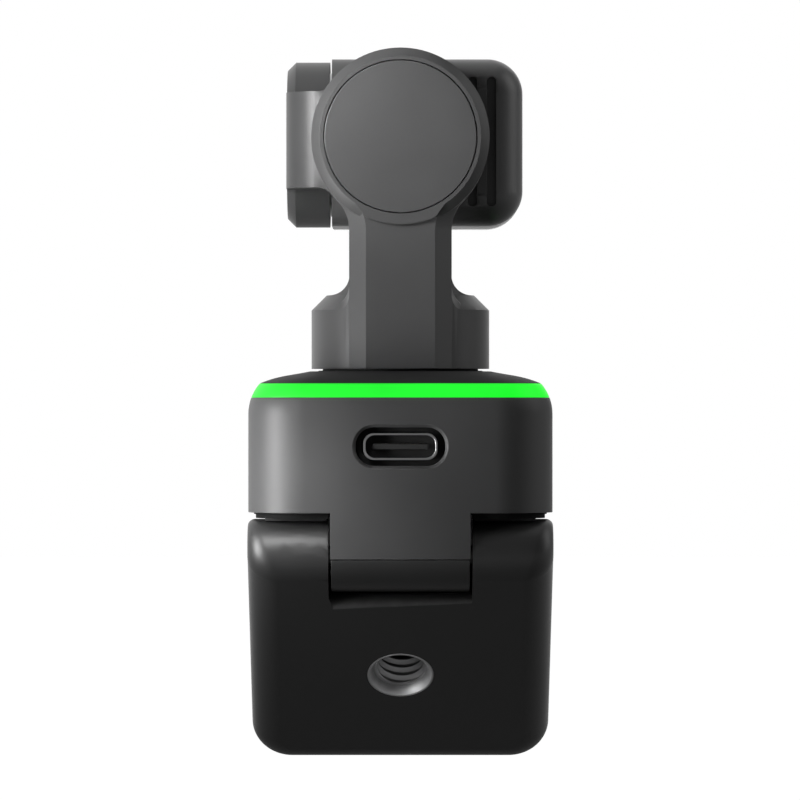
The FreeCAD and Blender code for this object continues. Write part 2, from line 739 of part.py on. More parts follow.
def make_base_shell():
    body = new_body("base_shell")
    shoulder_blank(body)
    pocket(body, "above", "Z", "strip_bottom_z", "shoulder_top + overrun", whole_plan())
    pocket(body, "hollow", "Z", "shell_bottom_z", "strip_bottom_z", inset_outline("base_wall"))
    pad(body, "bosses", "Z", "plate_top_z", "plate_top_z + boss_height",
        *[circle(a, b, "boss_radius") for a, b in boss_spots()])
    pocket(body, "boss_holes", "Z", "plate_top_z", "plate_top_z + boss_height",
           *[circle(a, b, "screw_radius + seat_gap") for a, b in boss_spots()])
    pad(body, "lug", "Y", "inner_front_y", "half_depth",
        rectangle("-lug_width / 2", "lug_width / 2", "lug_bottom_z", "shell_bottom_z + base_wall"))
    pocket(body, "port_cut", "Y", "inner_front_y - overrun", "half_depth",
           rounded("-port_cut_width / 2", "port_cut_width / 2", "port_height_z - port_cut_height / 2",
                   "port_height_z + port_cut_height / 2", "port_cut_corner"))
    pocket(body, "sound_holes", "Y", "-half_depth", "-inner_front_y + fit_gap",
           circle("microphone_x", "microphone_z", "sound_hole_radius"),
           circle("-microphone_x", "microphone_z", "sound_hole_radius"))

    def port_rim(edge):
        box = edge.BoundBox
        across = abs(box.XMax) < value("port_cut_width") / 2 + SMALL
        above = box.ZMin > value("port_height_z - port_cut_height")
        return on_level(edge, "Y", "half_depth") and across and above
    soften(body, "Chamfer", "port_bevel", "port_cut_bevel", port_rim)
    return keep(body)


def make_light_strip():
    body = new_body("light_strip")
    shoulder_blank(body)
    pocket(body, "above", "Z", "strip_top_z", "shoulder_top + overrun", whole_plan())
    pocket(body, "below", "Z", "shell_bottom_z", "strip_bottom_z", whole_plan())
    pocket(body, "inside", "Z", "strip_bottom_z", "strip_top_z", inset_outline("strip_inner_inset"))
    return keep(body)


def make_base_top_cover():
    body = new_body("base_top_cover")
    levels = [
        ("strip_top_z", "strip_top_inset", "base_corner - strip_top_inset"),
        ("strip_top_z + dome_low_rise", "dome_low_inset", "dome_corner"),
        ("strip_top_z + dome_mid_rise", "dome_mid_inset", "dome_corner"),
        ("dome_top_z", "dome_top_inset", "dome_corner"),
    ]
    sketches = []
    for number, (level, inset, corner) in enumerate(levels, start=1):
        sketches.append(new_sketch(body, "level%d" % number, "Z", level, [inset_outline(inset, corner)]))
    loft = body.newObject("PartDesign::AdditiveLoft", "base_top_cover_dome")
    loft.Profile = sketches[0]
    loft.Sections = sketches[1:]
    pad(body, "neck", "Z", "strip_top_z + dome_mid_rise", "neck_top_z", circle("0", "0", "neck_radius"))
    pad(body, "collar", "Z", "neck_top_z", "neck_top_z + collar_height",
        circle("0", "0", "collar_radius"), circle("0", "0", "collar_radius - collar_wall"))
    pad(body, "skirt", "Z", "strip_top_z - lid_skirt_drop", "strip_top_z", inset_outline("skirt_inset"))
    pocket(body, "hollow", "Z", "strip_top_z - lid_skirt_drop", "lid_ceiling_z",
           inset_outline("skirt_inset + lid_skirt_wall"))
    pocket(body, "post_hole", "Z", "lid_ceiling_z", "neck_top_z", circle("0", "0", "post_radius + seat_gap"))
    return keep(body)


def make_base_bottom_plate():
    body = new_body("base_bottom_plate")
    pad(body, "rim", "Z", "plate_bottom_z", "shell_bottom_z", inset_outline("plate_inset"))
    pad(body, "plug", "Z", "shell_bottom_z", "plate_top_z", inset_outline("base_wall + fit_gap"))
    pad(body, "hinge_land", "Z", "land_bottom_z", "plate_bottom_z", inset_outline("land_inset"))
    pocket(body, "land_front", "Z", "land_bottom_z", "plate_bottom_z",
           rectangle("-half_width", "half_width", "-half_depth", "land_front_y"))
    lug_half = "lug_width / 2 + lug_gap"
    pocket(body, "land_notch", "Z", "land_bottom_z", "plate_bottom_z",
           rectangle("-(%s)" % lug_half, lug_half, "land_front_y - overrun", "half_depth"))
    pocket(body, "land_wells", "Z", "land_bottom_z", "plate_bottom_z",
           *[circle(a, b, "screw_head_radius + fit_gap") for a, b in boss_spots() if not b.startswith("-")])
    pad(body, "standoffs", "Z", "plate_top_z", "board_bottom_z",
        *[circle(a, b, "standoff_radius") for a, b in standoff_spots()])
    pocket(body, "standoff_holes", "Z", "plate_top_z", "board_bottom_z",
           *[circle(a, b, "screw_radius + seat_gap") for a, b in standoff_spots()])
    pocket(body, "lug_notch", "Z", "plate_bottom_z", "plate_top_z",
           rectangle("-lug_width / 2 - fit_gap", "lug_width / 2 + fit_gap",
                     "inner_front_y - fit_gap", "half_depth"))
    pocket(body, "pad_seat", "Z", "plate_bottom_z", "seat_pad_thickness",
           rounded("-seat_pad_width / 2 - fit_gap", "seat_pad_width / 2 + fit_gap",
                   "-seat_pad_front - fit_gap", "seat_pad_rear + fit_gap", "pad_corner"))
    pocket(body, "lip_slot", "Z", "plate_bottom_z", "plate_top_z",
           rectangle("-lip_tenon_width / 2 - seat_gap", "lip_tenon_width / 2 + seat_gap",
                     "-lip_rear - lip_thickness + lip_tenon_wall - seat_gap",
                     "-lip_rear - lip_tenon_wall + seat_gap"))
    pocket(body, "screw_holes", "Z", "plate_bottom_z", "plate_top_z",
           *[circle(a, b, "screw_radius + fit_gap") for a, b in boss_spots()])
    pocket(body, "head_seats", "Z", "plate_bottom_z", "plate_bottom_z + screw_head_height",
           *[circle(a, b, "screw_head_radius + fit_gap") for a, b in boss_spots()])
    return keep(body)


def make_seat_pad():
    body = new_body("seat_pad")
    pad(body, "pad", "Z", "0", "seat_pad_thickness",
        rounded("-seat_pad_width / 2", "seat_pad_width / 2", "-seat_pad_front", "seat_pad_rear",
                "pad_corner"))
    return keep(body)


def make_front_lip():
    body = new_body("front_lip")
    pad(body, "blade", "Y", "-lip_rear - lip_thickness", "-lip_rear",
        rounded("-lip_width / 2", "lip_width / 2", "-lip_depth", "plate_bottom_z + lip_corner",
                "lip_corner"))
    pocket(body, "flat_top", "Z", "plate_bottom_z", "plate_bottom_z + lip_corner + overrun",
           rectangle("-lip_width", "lip_width", "-lip_rear - lip_thickness - overrun",
                     "-lip_rear + overrun"))
    pad(body, "tenon", "Z", "plate_bottom_z - lip_edge", "plate_top_z + lip_tenon_stand",
        rectangle("-lip_tenon_width / 2", "lip_tenon_width / 2",
                  "-lip_rear - lip_thickness + lip_tenon_wall", "-lip_rear - lip_tenon_wall"))
    soften(body, "Fillet", "edge", "lip_edge", lambda edge: near(edge.BoundBox.ZMax, "-lip_depth"))
    keep(body)
    pad_body = new_body("lip_pad")
    pad(pad_body, "pad", "Y", "-lip_rear", "-lip_rear + lip_pad_thickness",
        rounded("-lip_width / 2 + lip_pad_margin", "lip_width / 2 - lip_pad_margin",
                "-lip_depth + lip_pad_margin", "-lip_pad_margin", "lip_corner"))
    keep(pad_body)


def make_port():
    shell = new_body("usb_shell")

    def section(wall):
        return rounded("-port_shell_width / 2 + %s" % wall, "port_shell_width / 2 - %s" % wall,
                       "port_height_z - port_shell_height / 2 + %s" % wall,
                       "port_height_z + port_shell_height / 2 - %s" % wall, "port_shell_corner - %s" % wall)
    pad(shell, "tube", "Y", "port_back_y", "port_mouth_y", section("0"))
    pocket(shell, "mouth", "Y", "port_back_y + port_back_wall", "port_mouth_y", section("port_shell_wall"))
    keep(shell)
    tongue = new_body("usb_tongue")
    pad(tongue, "tongue", "Y", "port_back_y + port_back_wall", "port_mouth_y - tongue_setback",
        rectangle("-tongue_width / 2", "tongue_width / 2", "port_height_z - tongue_thickness / 2",
                  "port_height_z + tongue_thickness / 2"))
    keep(tongue)


def block(label, *ranges):
    """A plain block from three pairs of low and high."""
    body = new_body(label)
    (x_low, x_high), (y_low, y_high), (z_low, z_high) = ranges
    pad(body, "block", "Z", z_low, z_high, rectangle(x_low, x_high, y_low, y_high))
    return keep(body)


def make_electronics():
    board = new_body("main_board")
    pad(board, "board", "Z", "board_bottom_z", "port_bottom_z",
        rounded("-board_half_width", "board_half_width", "-board_half_depth", "board_half_depth",
                "board_corner"))
    pocket(board, "boss_reliefs", "Z", "board_bottom_z", "port_bottom_z",
           *[circle(a, b, "boss_radius + board_relief") for a, b in boss_spots()])
    pocket(board, "screw_holes", "Z", "board_bottom_z", "port_bottom_z",
           *[circle(a, b, "screw_radius + fit_gap") for a, b in standoff_spots()])
    keep(board)
    screws("board_screws", "Z", standoff_spots(), "port_bottom_z + screw_head_height",
           "port_bottom_z - board_screw_length", 1)
    screws("base_screws", "Z", boss_spots(), "plate_bottom_z", "plate_bottom_z + base_screw_length", -1)
    centre = "-chip_offset"
    for label, size, low, high in (
            ("processor", "chip_size", "port_bottom_z", "chip_top_z"),
            ("heat_spreader", "heat_plate_size", "chip_top_z", "chip_top_z + heat_plate_height")):
        across = ("-%s / 2" % size, "%s / 2" % size)
        along = ("%s - %s / 2" % (centre, size), "%s + %s / 2" % (centre, size))
        block(label, across, along, (low, high))

    microphones = new_body("microphones")
    for number, side in enumerate(("microphone_x", "-microphone_x"), start=1):
        pad(microphones, "capsule%d" % number, "Y", "-inner_front_y", "-inner_front_y + microphone_depth",
            rectangle("%s - microphone_size / 2" % side, "%s + microphone_size / 2" % side,
                      "microphone_z - microphone_size / 2", "microphone_z + microphone_size / 2"))
    keep(microphones)
    block("touch_board", ("-touch_board_width / 2", "touch_board_width / 2"),
          ("-inner_front_y", "-inner_front_y + touch_board_thickness"),
          ("led_board_z - fit_gap - touch_board_height", "led_board_z - fit_gap"))

    led_board = new_body("led_board")
    pad(led_board, "ring", "Z", "led_board_z", "led_board_z + led_board_thickness",
        inset_outline("base_wall + fit_gap"), inset_outline("strip_inner_inset"))
    keep(led_board)
    lamps = new_body("status_lamps")
    shapes = []
    lamp_inset = "(base_wall + strip_inner_inset) / 2"
    for step in range(-LAMP_STEPS, LAMP_STEPS + 1):
        for side in ("", "-"):
            along = "%d * lamp_pitch" % step
            across = "%s(half_depth - %s)" % (side, lamp_inset)
            if abs(step) < LAMP_STEPS:
                shapes.append(rectangle("%s - lamp_length / 2" % along, "%s + lamp_length / 2" % along,
                                        "%s - lamp_width / 2" % across, "%s + lamp_width / 2" % across))
            across = "%s(half_width - %s)" % (side, lamp_inset)
            shapes.append(rectangle("%s - lamp_width / 2" % across, "%s + lamp_width / 2" % across,
                                    "%s - lamp_length / 2" % along, "%s + lamp_length / 2" % along))
    lamp_floor = "led_board_z + led_board_thickness"
    pad(lamps, "lamps", "Z", lamp_floor, lamp_floor + " + lamp_height", *shapes)
    keep(lamps)


# Clip hinge and foot

def make_hinge():
    body = new_body("hinge_barrel")
    half = "lug_width / 2 - barrel_side_step"
    pad(body, "barrel", "X", "-(%s)" % half, half, circle("hinge_y", "hinge_z", "hinge_radius"))
    pad(body, "neck", "X", "-(%s)" % half, half,
        rectangle("hinge_y - hinge_radius", "half_depth", "hinge_z", "plate_bottom_z"))
    pocket(body, "lug_seat", "X", "-lug_width", "lug_width",
           rectangle("inner_front_y - seam_gap", "half_depth + overrun", "lug_bottom_z - seam_gap",
                     "plate_bottom_z + overrun"))
    pocket(body, "bore", "X", "-lug_width", "lug_width",
           circle("hinge_y", "hinge_z", "pin_radius + running_gap"))
    for name, low, high in (("sleeve_seat1", "-(%s)" % half, "-(%s) + sleeve_length" % half),
                            ("sleeve_seat2", "%s - sleeve_length" % half, half)):
        pocket(body, name, "X", low, high, circle("hinge_y", "hinge_z", "sleeve_radius"))
    keep(body)
    centre = [("hinge_y", "hinge_z")]
    disc_stack("friction_sleeves", "X", centre,
               ("-(%s)" % half, "-(%s) + sleeve_length - seat_gap" % half, "sleeve_radius - seat_gap",
                "pin_radius + running_gap"),
               ("%s - sleeve_length + seat_gap" % half, half, "sleeve_radius - seat_gap",
                "pin_radius + running_gap"))


HOLLOW_SHARE = 0.12  # the swept sections start this share of the radius out from the axis
CORE_SHARE = 0.2  # and a round core of this share fills their middle


def knuckle_section(turn, edge):
    """One radial cut through the foot's round end, from the axis outwards, with softened corners."""
    half = value("half_width")
    reach = value("hinge_radius")
    inner = HOLLOW_SHARE * reach
    outwards = Vector(0, -math.cos(turn), math.sin(turn))

    def point(across, along):
        return Vector(across, 0, 0) + outwards * along

    def width_at(along):
        over = along - (reach - edge)
        return half if over <= 0 else half - edge + math.sqrt(max(0, edge ** 2 - over ** 2))

    start = max(reach - edge, CORE_SHARE * reach)
    middle = (start + reach) / 2
    right = [point(width_at(along), along) for along in (inner, start, middle, reach)]
    left = [Vector(-corner.x, corner.y, corner.z) for corner in right]
    segments = [
        Part.LineSegment(left[0], right[0]),
        Part.LineSegment(right[0], right[1]),
        Part.Arc(right[1], right[2], right[3]),
        Part.LineSegment(right[3], left[3]),
        Part.Arc(left[3], left[2], left[1]),
        Part.LineSegment(left[1], left[0]),
    ]
    return Part.Wire([segment.toShape() for segment in segments])


def knuckle_end():
    """The foot's round end: its side corners fade from the wide outer edge to the small inner one."""
    steps = 8
    sections = []
    for step in range(steps + 1):
        turn = math.radians(90 + 180 * step / steps)
        share = max(0, step - 1) / (steps - 1)
        edge = value("foot_inner_edge") + share * (value("foot_edge") - value("foot_inner_edge"))
        sections.append(knuckle_section(turn, edge))
    rounded_end = Part.makeLoft(sections, True, False)
    core_half = value("half_width - foot_inner_edge")
    core = Part.makeCylinder(CORE_SHARE * value("hinge_radius"), 2 * core_half, Vector(-core_half, 0, 0),
                             Vector(1, 0, 0))
    item = doc.addObject("Part::Feature", "knuckle_end")
    item.Shape = rounded_end.fuse(core)
    return item


def tool_box(label, x_range, y_range, z_range):
    item = doc.addObject("Part::Box", label)
    for (low, high), letter, side in zip((x_range, y_range, z_range), "xyz", ("Length", "Width", "Height")):
        item.setExpression("Placement.Base." + letter, formula(low))
        item.setExpression(side, formula("(%s) - (%s)" % (high, low)))
    return item


def tool_cylinder(label, direction, start, radius, height):
    item = doc.addObject("Part::Cylinder", label)
    item.Placement.Rotation = Rotation(Vector(0, 0, 1), direction)
    for text, letter in zip(start, "xyz"):
        item.setExpression("Placement.Base." + letter, formula(text))
    item.setExpression("Radius", formula(radius))
    item.setExpression("Height", formula(height))
    return item


def combine(kind, label, first, others):
    item = doc.addObject("Part::" + kind, label)
    if kind == "MultiFuse":
        item.Shapes = [first] + others
        item.Refine = True
        return item
    item.Base = first
    item.Tool = others[0]
    if len(others) > 1:
        item.Tool = combine("MultiFuse", label + "_tools", others[0], others[1:])
    return item


def foot_screw_spots():
    rows = ("-foot_hollow_start - foot_screw_inset", "-inner_plate_reach + foot_screw_inset")
    return [(side, row) for row in rows for side in ("foot_screw_x", "-foot_screw_x")]


def make_foot_shell():
    slab = new_body("foot_slab")
    pad(slab, "slab", "X", "-half_width", "half_width",
        rectangle("-foot_length", "0", "-hinge_radius", "foot_inner"))

    def end_corner(edge):
        return near(edge.BoundBox.YMax, "-foot_length") and edge.BoundBox.ZLength > SMALL
    soften(slab, "Fillet", "end_corners", "foot_end_corner", end_corner)

    def outer_rim(edge):
        return on_level(edge, "Z", "-hinge_radius") and not on_level(edge, "Y", "0")
    soften(slab, "Fillet", "outer_rim", "foot_edge", outer_rim)

    boss_height = "inner_plate_bottom - foot_floor"
    bosses = []
    for number, (a, b) in enumerate(foot_screw_spots(), start=1):
        bosses.append(tool_cylinder("foot_boss%d" % number, Vector(0, 0, 1), (a, b, "foot_floor"),
                                    "foot_boss_radius", boss_height))
    bosses.append(tool_cylinder("tripod_boss", Vector(0, 0, 1), ("0", "-tripod_reach", "-hinge_radius"),
                                "tripod_bush_radius + tripod_boss_wall", "tripod_bush_length"))
    hollow = tool_box("foot_hollow", ("-foot_hollow_half", "foot_hollow_half"),
                      ("-foot_hollow_end", "-foot_hollow_start"), ("foot_floor", "foot_inner + overrun"))
    doc.recompute()
    upright = ["Edge%d" % number for number, edge in enumerate(hollow.Shape.Edges, start=1)
               if edge.BoundBox.ZLength > SMALL]
    hollow_rounded = doc.addObject("Part::Fillet", "foot_hollow_rounded")
    hollow_rounded.Base = hollow
    corner = value("foot_hollow_corner")
    hollow_rounded.Edges = [(int(name[4:]), corner, corner) for name in upright]
    body = combine("MultiFuse", "foot_outer", slab, [knuckle_end()])
    opened = combine("Cut", "foot_opened", body, [hollow_rounded])
    with_bosses = combine("MultiFuse", "foot_with_bosses", opened, bosses)
    notch_half = "lug_width / 2 + lug_gap"
    cuts = [
        tool_box("notch", ("-(%s)" % notch_half, notch_half), ("-notch_depth", "hinge_radius + overrun"),
                 ("-hinge_radius - overrun", "hinge_radius + overrun")),
        tool_box("notch_top", ("-(%s)" % notch_half, notch_half),
                 ("-hinge_radius - notch_clearance", "0"), ("0", "hinge_radius + overrun")),
        tool_cylinder("notch_round", Vector(1, 0, 0), ("-(%s)" % notch_half, "0", "0"),
                      "hinge_radius + notch_clearance", "2 * (%s)" % notch_half),
        tool_cylinder("pin_bore", Vector(1, 0, 0), ("-pin_length / 2 - seat_gap", "0", "0"),
                      "pin_radius + seat_gap", "pin_length + 2 * seat_gap"),
        tool_cylinder("bush_seat", Vector(0, 0, 1), ("0", "-tripod_reach", "-hinge_radius - overrun"),
                      "tripod_bush_radius + seat_gap", "tripod_bush_length + 2 * overrun"),
    ]
    pin_end = "pin_length / 2 + seat_gap"
    cradle_end = "pin_length / 2 - clamp_length - seat_gap"
    across = ("-pin_radius - seat_gap", "pin_radius + seat_gap")
    for side, low, high in (("left", cradle_end, pin_end),
                            ("right", "-(%s)" % pin_end, "-(%s)" % cradle_end)):
        cuts.append(tool_box("cradle_" + side, (low, high), across, ("0", "hinge_radius + overrun")))
    for number, (a, b) in enumerate(foot_screw_spots(), start=1):
        cuts.append(tool_cylinder("foot_boss_hole%d" % number, Vector(0, 0, 1),
                                  (a, b, "foot_floor + foot_screw_floor"), "screw_radius + seat_gap",
                                  "hinge_radius * 2"))
    return keep(place_on_hinge(combine("Cut", "foot_shell", with_bosses, cuts)))


def make_foot_fittings():
    plate = new_body("foot_inner_plate")
    edge_gap = "fit_gap"
    pad(plate, "plate", "Z", "inner_plate_bottom", "inner_plate_top",
        rounded("-foot_hollow_half + %s" % edge_gap, "foot_hollow_half - %s" % edge_gap,
                "-inner_plate_reach", "-foot_hollow_start - %s" % edge_gap, "foot_hollow_corner - fit_gap"))
    pocket(plate, "screw_holes", "Z", "inner_plate_bottom", "inner_plate_top",
           *[circle(a, b, "screw_radius + fit_gap") for a, b in foot_screw_spots()])
    keep(place_on_hinge(plate))

    foot_pad = new_body("foot_pad")
    pad(foot_pad, "pad", "Z", "inner_plate_top", "inner_plate_top + foot_pad_thickness",
        rounded("-foot_pad_half", "foot_pad_half", "-foot_pad_end",
                "-foot_pad_end + foot_pad_length", "pad_corner"))
    pocket(foot_pad, "screw_reliefs", "Z", "inner_plate_top", "inner_plate_top + foot_pad_thickness",
           *[circle(a, b, "screw_head_radius + board_relief") for a, b in foot_screw_spots()])
    keep(place_on_hinge(foot_pad))

    foot_screws = screws("foot_screws", "Z", foot_screw_spots(), "inner_plate_top + screw_head_height",
                         "foot_floor + foot_screw_floor + fit_gap", 1)
    place_on_hinge(foot_screws)

    bush = new_body("tripod_bush")
    centre = ("0", "-tripod_reach")
    pad(bush, "sleeve", "Z", "-hinge_radius", "-hinge_radius + tripod_bush_length",
        circle(*centre, "tripod_bush_radius"), circle(*centre, "tripod_bore_radius"))

    def mouth(edge):
        return on_level(edge, "Z", "-hinge_radius") and near(edge.BoundBox.XLength, "2 * tripod_bore_radius")
    soften(bush, "Chamfer", "mouth", "tripod_mouth_radius - tripod_bore_radius", mouth)
    keep(place_on_hinge(bush))

    pin = disc_stack("hinge_pin", "X", [("0", "0")],
                     ("-pin_length / 2", "pin_length / 2", "pin_radius", None))
    place_on_hinge(pin)

    clamps = new_body("knuckle_clamps")
    for number, (low, high) in enumerate((("pin_length / 2 - clamp_length", "pin_length / 2"),
                                          ("-pin_length / 2", "-pin_length / 2 + clamp_length")), start=1):
        pad(clamps, "clamp%d" % number, "X", low, high,
            rectangle("-pin_radius", "pin_radius", "pin_radius + seat_gap", "foot_inner"))
    keep(place_on_hinge(clamps))


# Pan motor, turret and arm

def make_pan_motor():
    disc_stack("pan_post", "Z", [("0", "0")],
               ("lid_ceiling_z - post_flange_thickness", "lid_ceiling_z", "post_flange_radius",
                "post_bore_radius"),
               ("lid_ceiling_z", "pan_bearing_z + bearing_width", "post_radius", "post_bore_radius"))
    coil_ring("pan_stator", "Z", ("0", "0"), "pan_motor_z", "pan_motor_z + pan_motor_length",
              "pan_coil_radius", "post_radius + seat_gap")
    disc_stack("pan_magnet_ring", "Z", [("0", "0")],
               ("pan_motor_z", "pan_motor_z + pan_motor_length", "pan_magnet_outer", "pan_magnet_inner"))
    disc_stack("pan_bearing", "Z", [("0", "0")],
               ("pan_bearing_z", "pan_bearing_z + bearing_width", "bearing_radius",
                "post_radius + running_gap"))


def arm_outline():
    return polygon(("-arm_half", "arm_front_y"), ("arm_half", "arm_front_y"), ("arm_half", "arm_side_y"),
                   ("arm_flat_half", "arm_rear_y"), ("-arm_flat_half", "arm_rear_y"),
                   ("-arm_half", "arm_side_y"))


def add_root_flare(body):
    """In front of the arm a low root spreads over the turret's flat top, hollow at its sides."""
    pad(body, "flare", "Z", "turret_top_z", "flare_top_z",
        polygon(("flare_front_x", "flare_front_y", "flare_radius", 1), ("flare_rear_x", "arm_front_y"),
                ("-flare_rear_x", "arm_front_y", "flare_radius", 1), ("-flare_front_x", "flare_front_y")))
    for name, sign, turn in (("flare_right", "", -1), ("flare_left", "-", 1)):
        foot = "%s(arm_half + arm_root_fillet)" % sign
        outside = "%s(flare_radius + overrun)" % sign
        root = "%sarm_half" % sign
        pocket(body, name, "Y", "flare_front_y - overrun", "arm_front_y",
               polygon((foot, "turret_top_z", "arm_root_fillet", turn), (root, "flare_top_z"),
                       (root, "flare_top_z + overrun"), (outside, "flare_top_z + overrun"),
                       (outside, "turret_top_z")))
    pocket(body, "flare_slope", "X", "-flare_radius", "flare_radius",
           polygon(("flare_front_y", "turret_top_z"), ("arm_front_y", "flare_top_z"),
                   ("arm_front_y", "flare_top_z + overrun"),
                   ("flare_front_y - overrun", "flare_top_z + overrun"),
                   ("flare_front_y - overrun", "turret_top_z")))


def blend_outline(low_x, top_x, top_z, radius):
    """The arm's upper end, which widens in two hollow curves to meet the roll housing."""
    return polygon(("-" + low_x, "blend_low_z", radius, 1), ("-" + top_x, top_z), (top_x, top_z, radius, 1),
                   (low_x, "blend_low_z"))


def add_housing_blend(body):
    """The widening end keeps the arm's bevelled rear corners, up to the apron round the cap."""
    whole = blend_outline("arm_half", "blend_top_x", "blend_top_z", "blend_radius")
    flat = blend_outline("arm_flat_half", "apron_top_x", "apron_top_z", "blend_flat_radius")
    pad(body, "blend", "Y", "arm_front_y", "arm_side_y", whole)
    wide = new_sketch(body, "blend_wide", "Y", "arm_side_y", [whole])
    narrow = new_sketch(body, "blend_narrow", "Y", "arm_rear_y", [flat])
    flank = body.newObject("PartDesign::AdditiveLoft", "pan_arm_flank")
    flank.Profile = wide
    flank.Sections = [narrow]


def make_pan_arm():
    body = new_body("pan_arm")
    pad(body, "turret", "Z", "turret_bottom_z", "turret_top_z", circle("0", "0", "turret_radius"))
    soften(body, "Chamfer", "turret_edge", "turret_chamfer",
           lambda edge: on_level(edge, "Z", "turret_top_z"))
    pad(body, "arm", "Z", "turret_bottom_z", "roll_axis_z", arm_outline())

    def root(edge):
        box = edge.BoundBox
        low = value("turret_top_z - turret_chamfer") - SMALL
        high = value("turret_top_z") + SMALL
        at_side = abs(abs(box.XMax) - value("arm_half")) < SMALL and box.XLength < SMALL
        return box.ZMin > low and box.ZMax < high and at_side
    soften(body, "Fillet", "root", "arm_root_fillet", root)
    add_root_flare(body)
    centre = ("0", "roll_axis_z")
    pad(body, "housing", "Y", "arm_front_y", "bevel_start_y", circle(*centre, "roll_housing_radius"))
    bevel_low = new_sketch(body, "bevel_low", "Y", "bevel_start_y", [circle(*centre, "roll_housing_radius")])
    bevel_high = new_sketch(body, "bevel_high", "Y", "roll_rear_y", [circle(*centre, "ring_radius")])
    bevel = body.newObject("PartDesign::AdditiveLoft", "pan_arm_bevel")
    bevel.Profile = bevel_low
    bevel.Sections = [bevel_high]
    add_housing_blend(body)
    pad(body, "apron", "Y", "arm_rear_y - fit_gap", "roll_rear_y",
        polygon(("-apron_top_x", "apron_top_z"), ("-arm_flat_half", "apron_low_z", "apron_radius", 1),
                ("arm_flat_half", "apron_low_z"), ("apron_top_x", "apron_top_z")))
    pocket(body, "cap_seat", "Y", "cap_seat_y", "roll_rear_y", circle(*centre, "cap_radius + cap_seam"))
    pocket(body, "motor_cup", "Y", "arm_front_y", "roll_cup_y", circle(*centre, "roll_cup_radius"))
    pocket(body, "turret_hollow", "Z", "turret_bottom_z", "turret_ceiling_z",
           circle("0", "0", "turret_radius - turret_wall"))
    pocket(body, "bearing_seat", "Z", "turret_ceiling_z", "pan_bearing_z + bearing_width",
           circle("0", "0", "bearing_radius + seat_gap"))
    pocket(body, "cover_seat", "Y", "arm_front_y", "arm_front_y + arm_cover_thickness",
           rectangle("-arm_cover_half - fit_gap", "arm_cover_half + fit_gap",
                     "arm_cover_low - fit_gap", "arm_cover_high + fit_gap"))
    cable_back = "arm_front_y + arm_cover_thickness + arm_cavity_depth"
    way_low = "arm_cover_low + arm_cavity_margin"
    way_high = "arm_cover_high - arm_cavity_margin"
    pocket(body, "cable_way", "Y", "arm_front_y + arm_cover_thickness", cable_back,
           rectangle("-arm_cavity_half", "arm_cavity_half", way_low, way_high))
    pocket(body, "screw_holes", "Y", "arm_front_y + arm_cover_thickness",
           "arm_front_y + small_screw_length + fit_gap",
           *[circle(a, b, "small_screw_radius + seat_gap") for a, b in arm_screw_spots()])
    keep(body)

    cover = new_body("arm_cover")
    pad(cover, "plate", "Y", "arm_front_y", "arm_front_y + arm_cover_thickness",
        rectangle("-arm_cover_half", "arm_cover_half", "arm_cover_low", "arm_cover_high"))
    pocket(cover, "screw_holes", "Y", "arm_front_y", "arm_front_y + arm_cover_thickness",
           *[circle(a, b, "small_screw_radius + fit_gap") for a, b in arm_screw_spots()])
    pocket(cover, "head_seats", "Y", "arm_front_y", "arm_front_y + small_screw_head_height",
           *[circle(a, b, "small_screw_head_radius + fit_gap") for a, b in arm_screw_spots()])
    keep(cover)
    cable = new_body("arm_cable")
    pad(cable, "ribbon", "Y", cable_back + " - cable_thickness", cable_back,
        rectangle("-arm_cavity_half + cable_side_gap", "arm_cavity_half - cable_side_gap",
                  way_low + " + fit_gap", way_high + " - fit_gap"))
    keep(cable)
    screws("arm_screws", "Y", arm_screw_spots(), "arm_front_y", "arm_front_y + small_screw_length", -1,
           "small_screw")
    disc_stack("roll_cap", "Y", [("0", "roll_axis_z")],
               ("cap_seat_y", "cap_seat_y + cap_thickness", "cap_radius", None))


def arm_screw_spots():
    side = "arm_cover_half - cover_screw_inset"
    return [(a, b) for a in (side, "-(%s)" % side)
            for b in ("arm_cover_low + cover_screw_inset", "arm_cover_high - cover_screw_inset")]


# Roll motor and side arm

def make_roll_motor():
    centre = ("0", "roll_axis_z")
    motor_rear = "roll_cup_y"
    motor_front = "roll_cup_y - roll_motor_length"
    coil_ring("roll_stator", "Y", centre, motor_front, motor_rear, "roll_coil_radius",
              "small_bearing_radius + seat_gap")
    disc_stack("roll_bearing", "Y", [centre],
               ("roll_cup_y - small_bearing_width", "roll_cup_y", "small_bearing_radius",
                "shaft_radius + running_gap"))
    disc_stack("roll_magnet_ring", "Y", [centre],
               ("hub_rear_y", "roll_cup_y - magnet_end_gap", "roll_magnet_outer", "roll_magnet_inner"))
    disc_stack("roll_shaft", "Y", [centre],
               ("hub_rear_y - shaft_seat_depth", "roll_cup_y - shaft_end_gap", "shaft_radius", None))


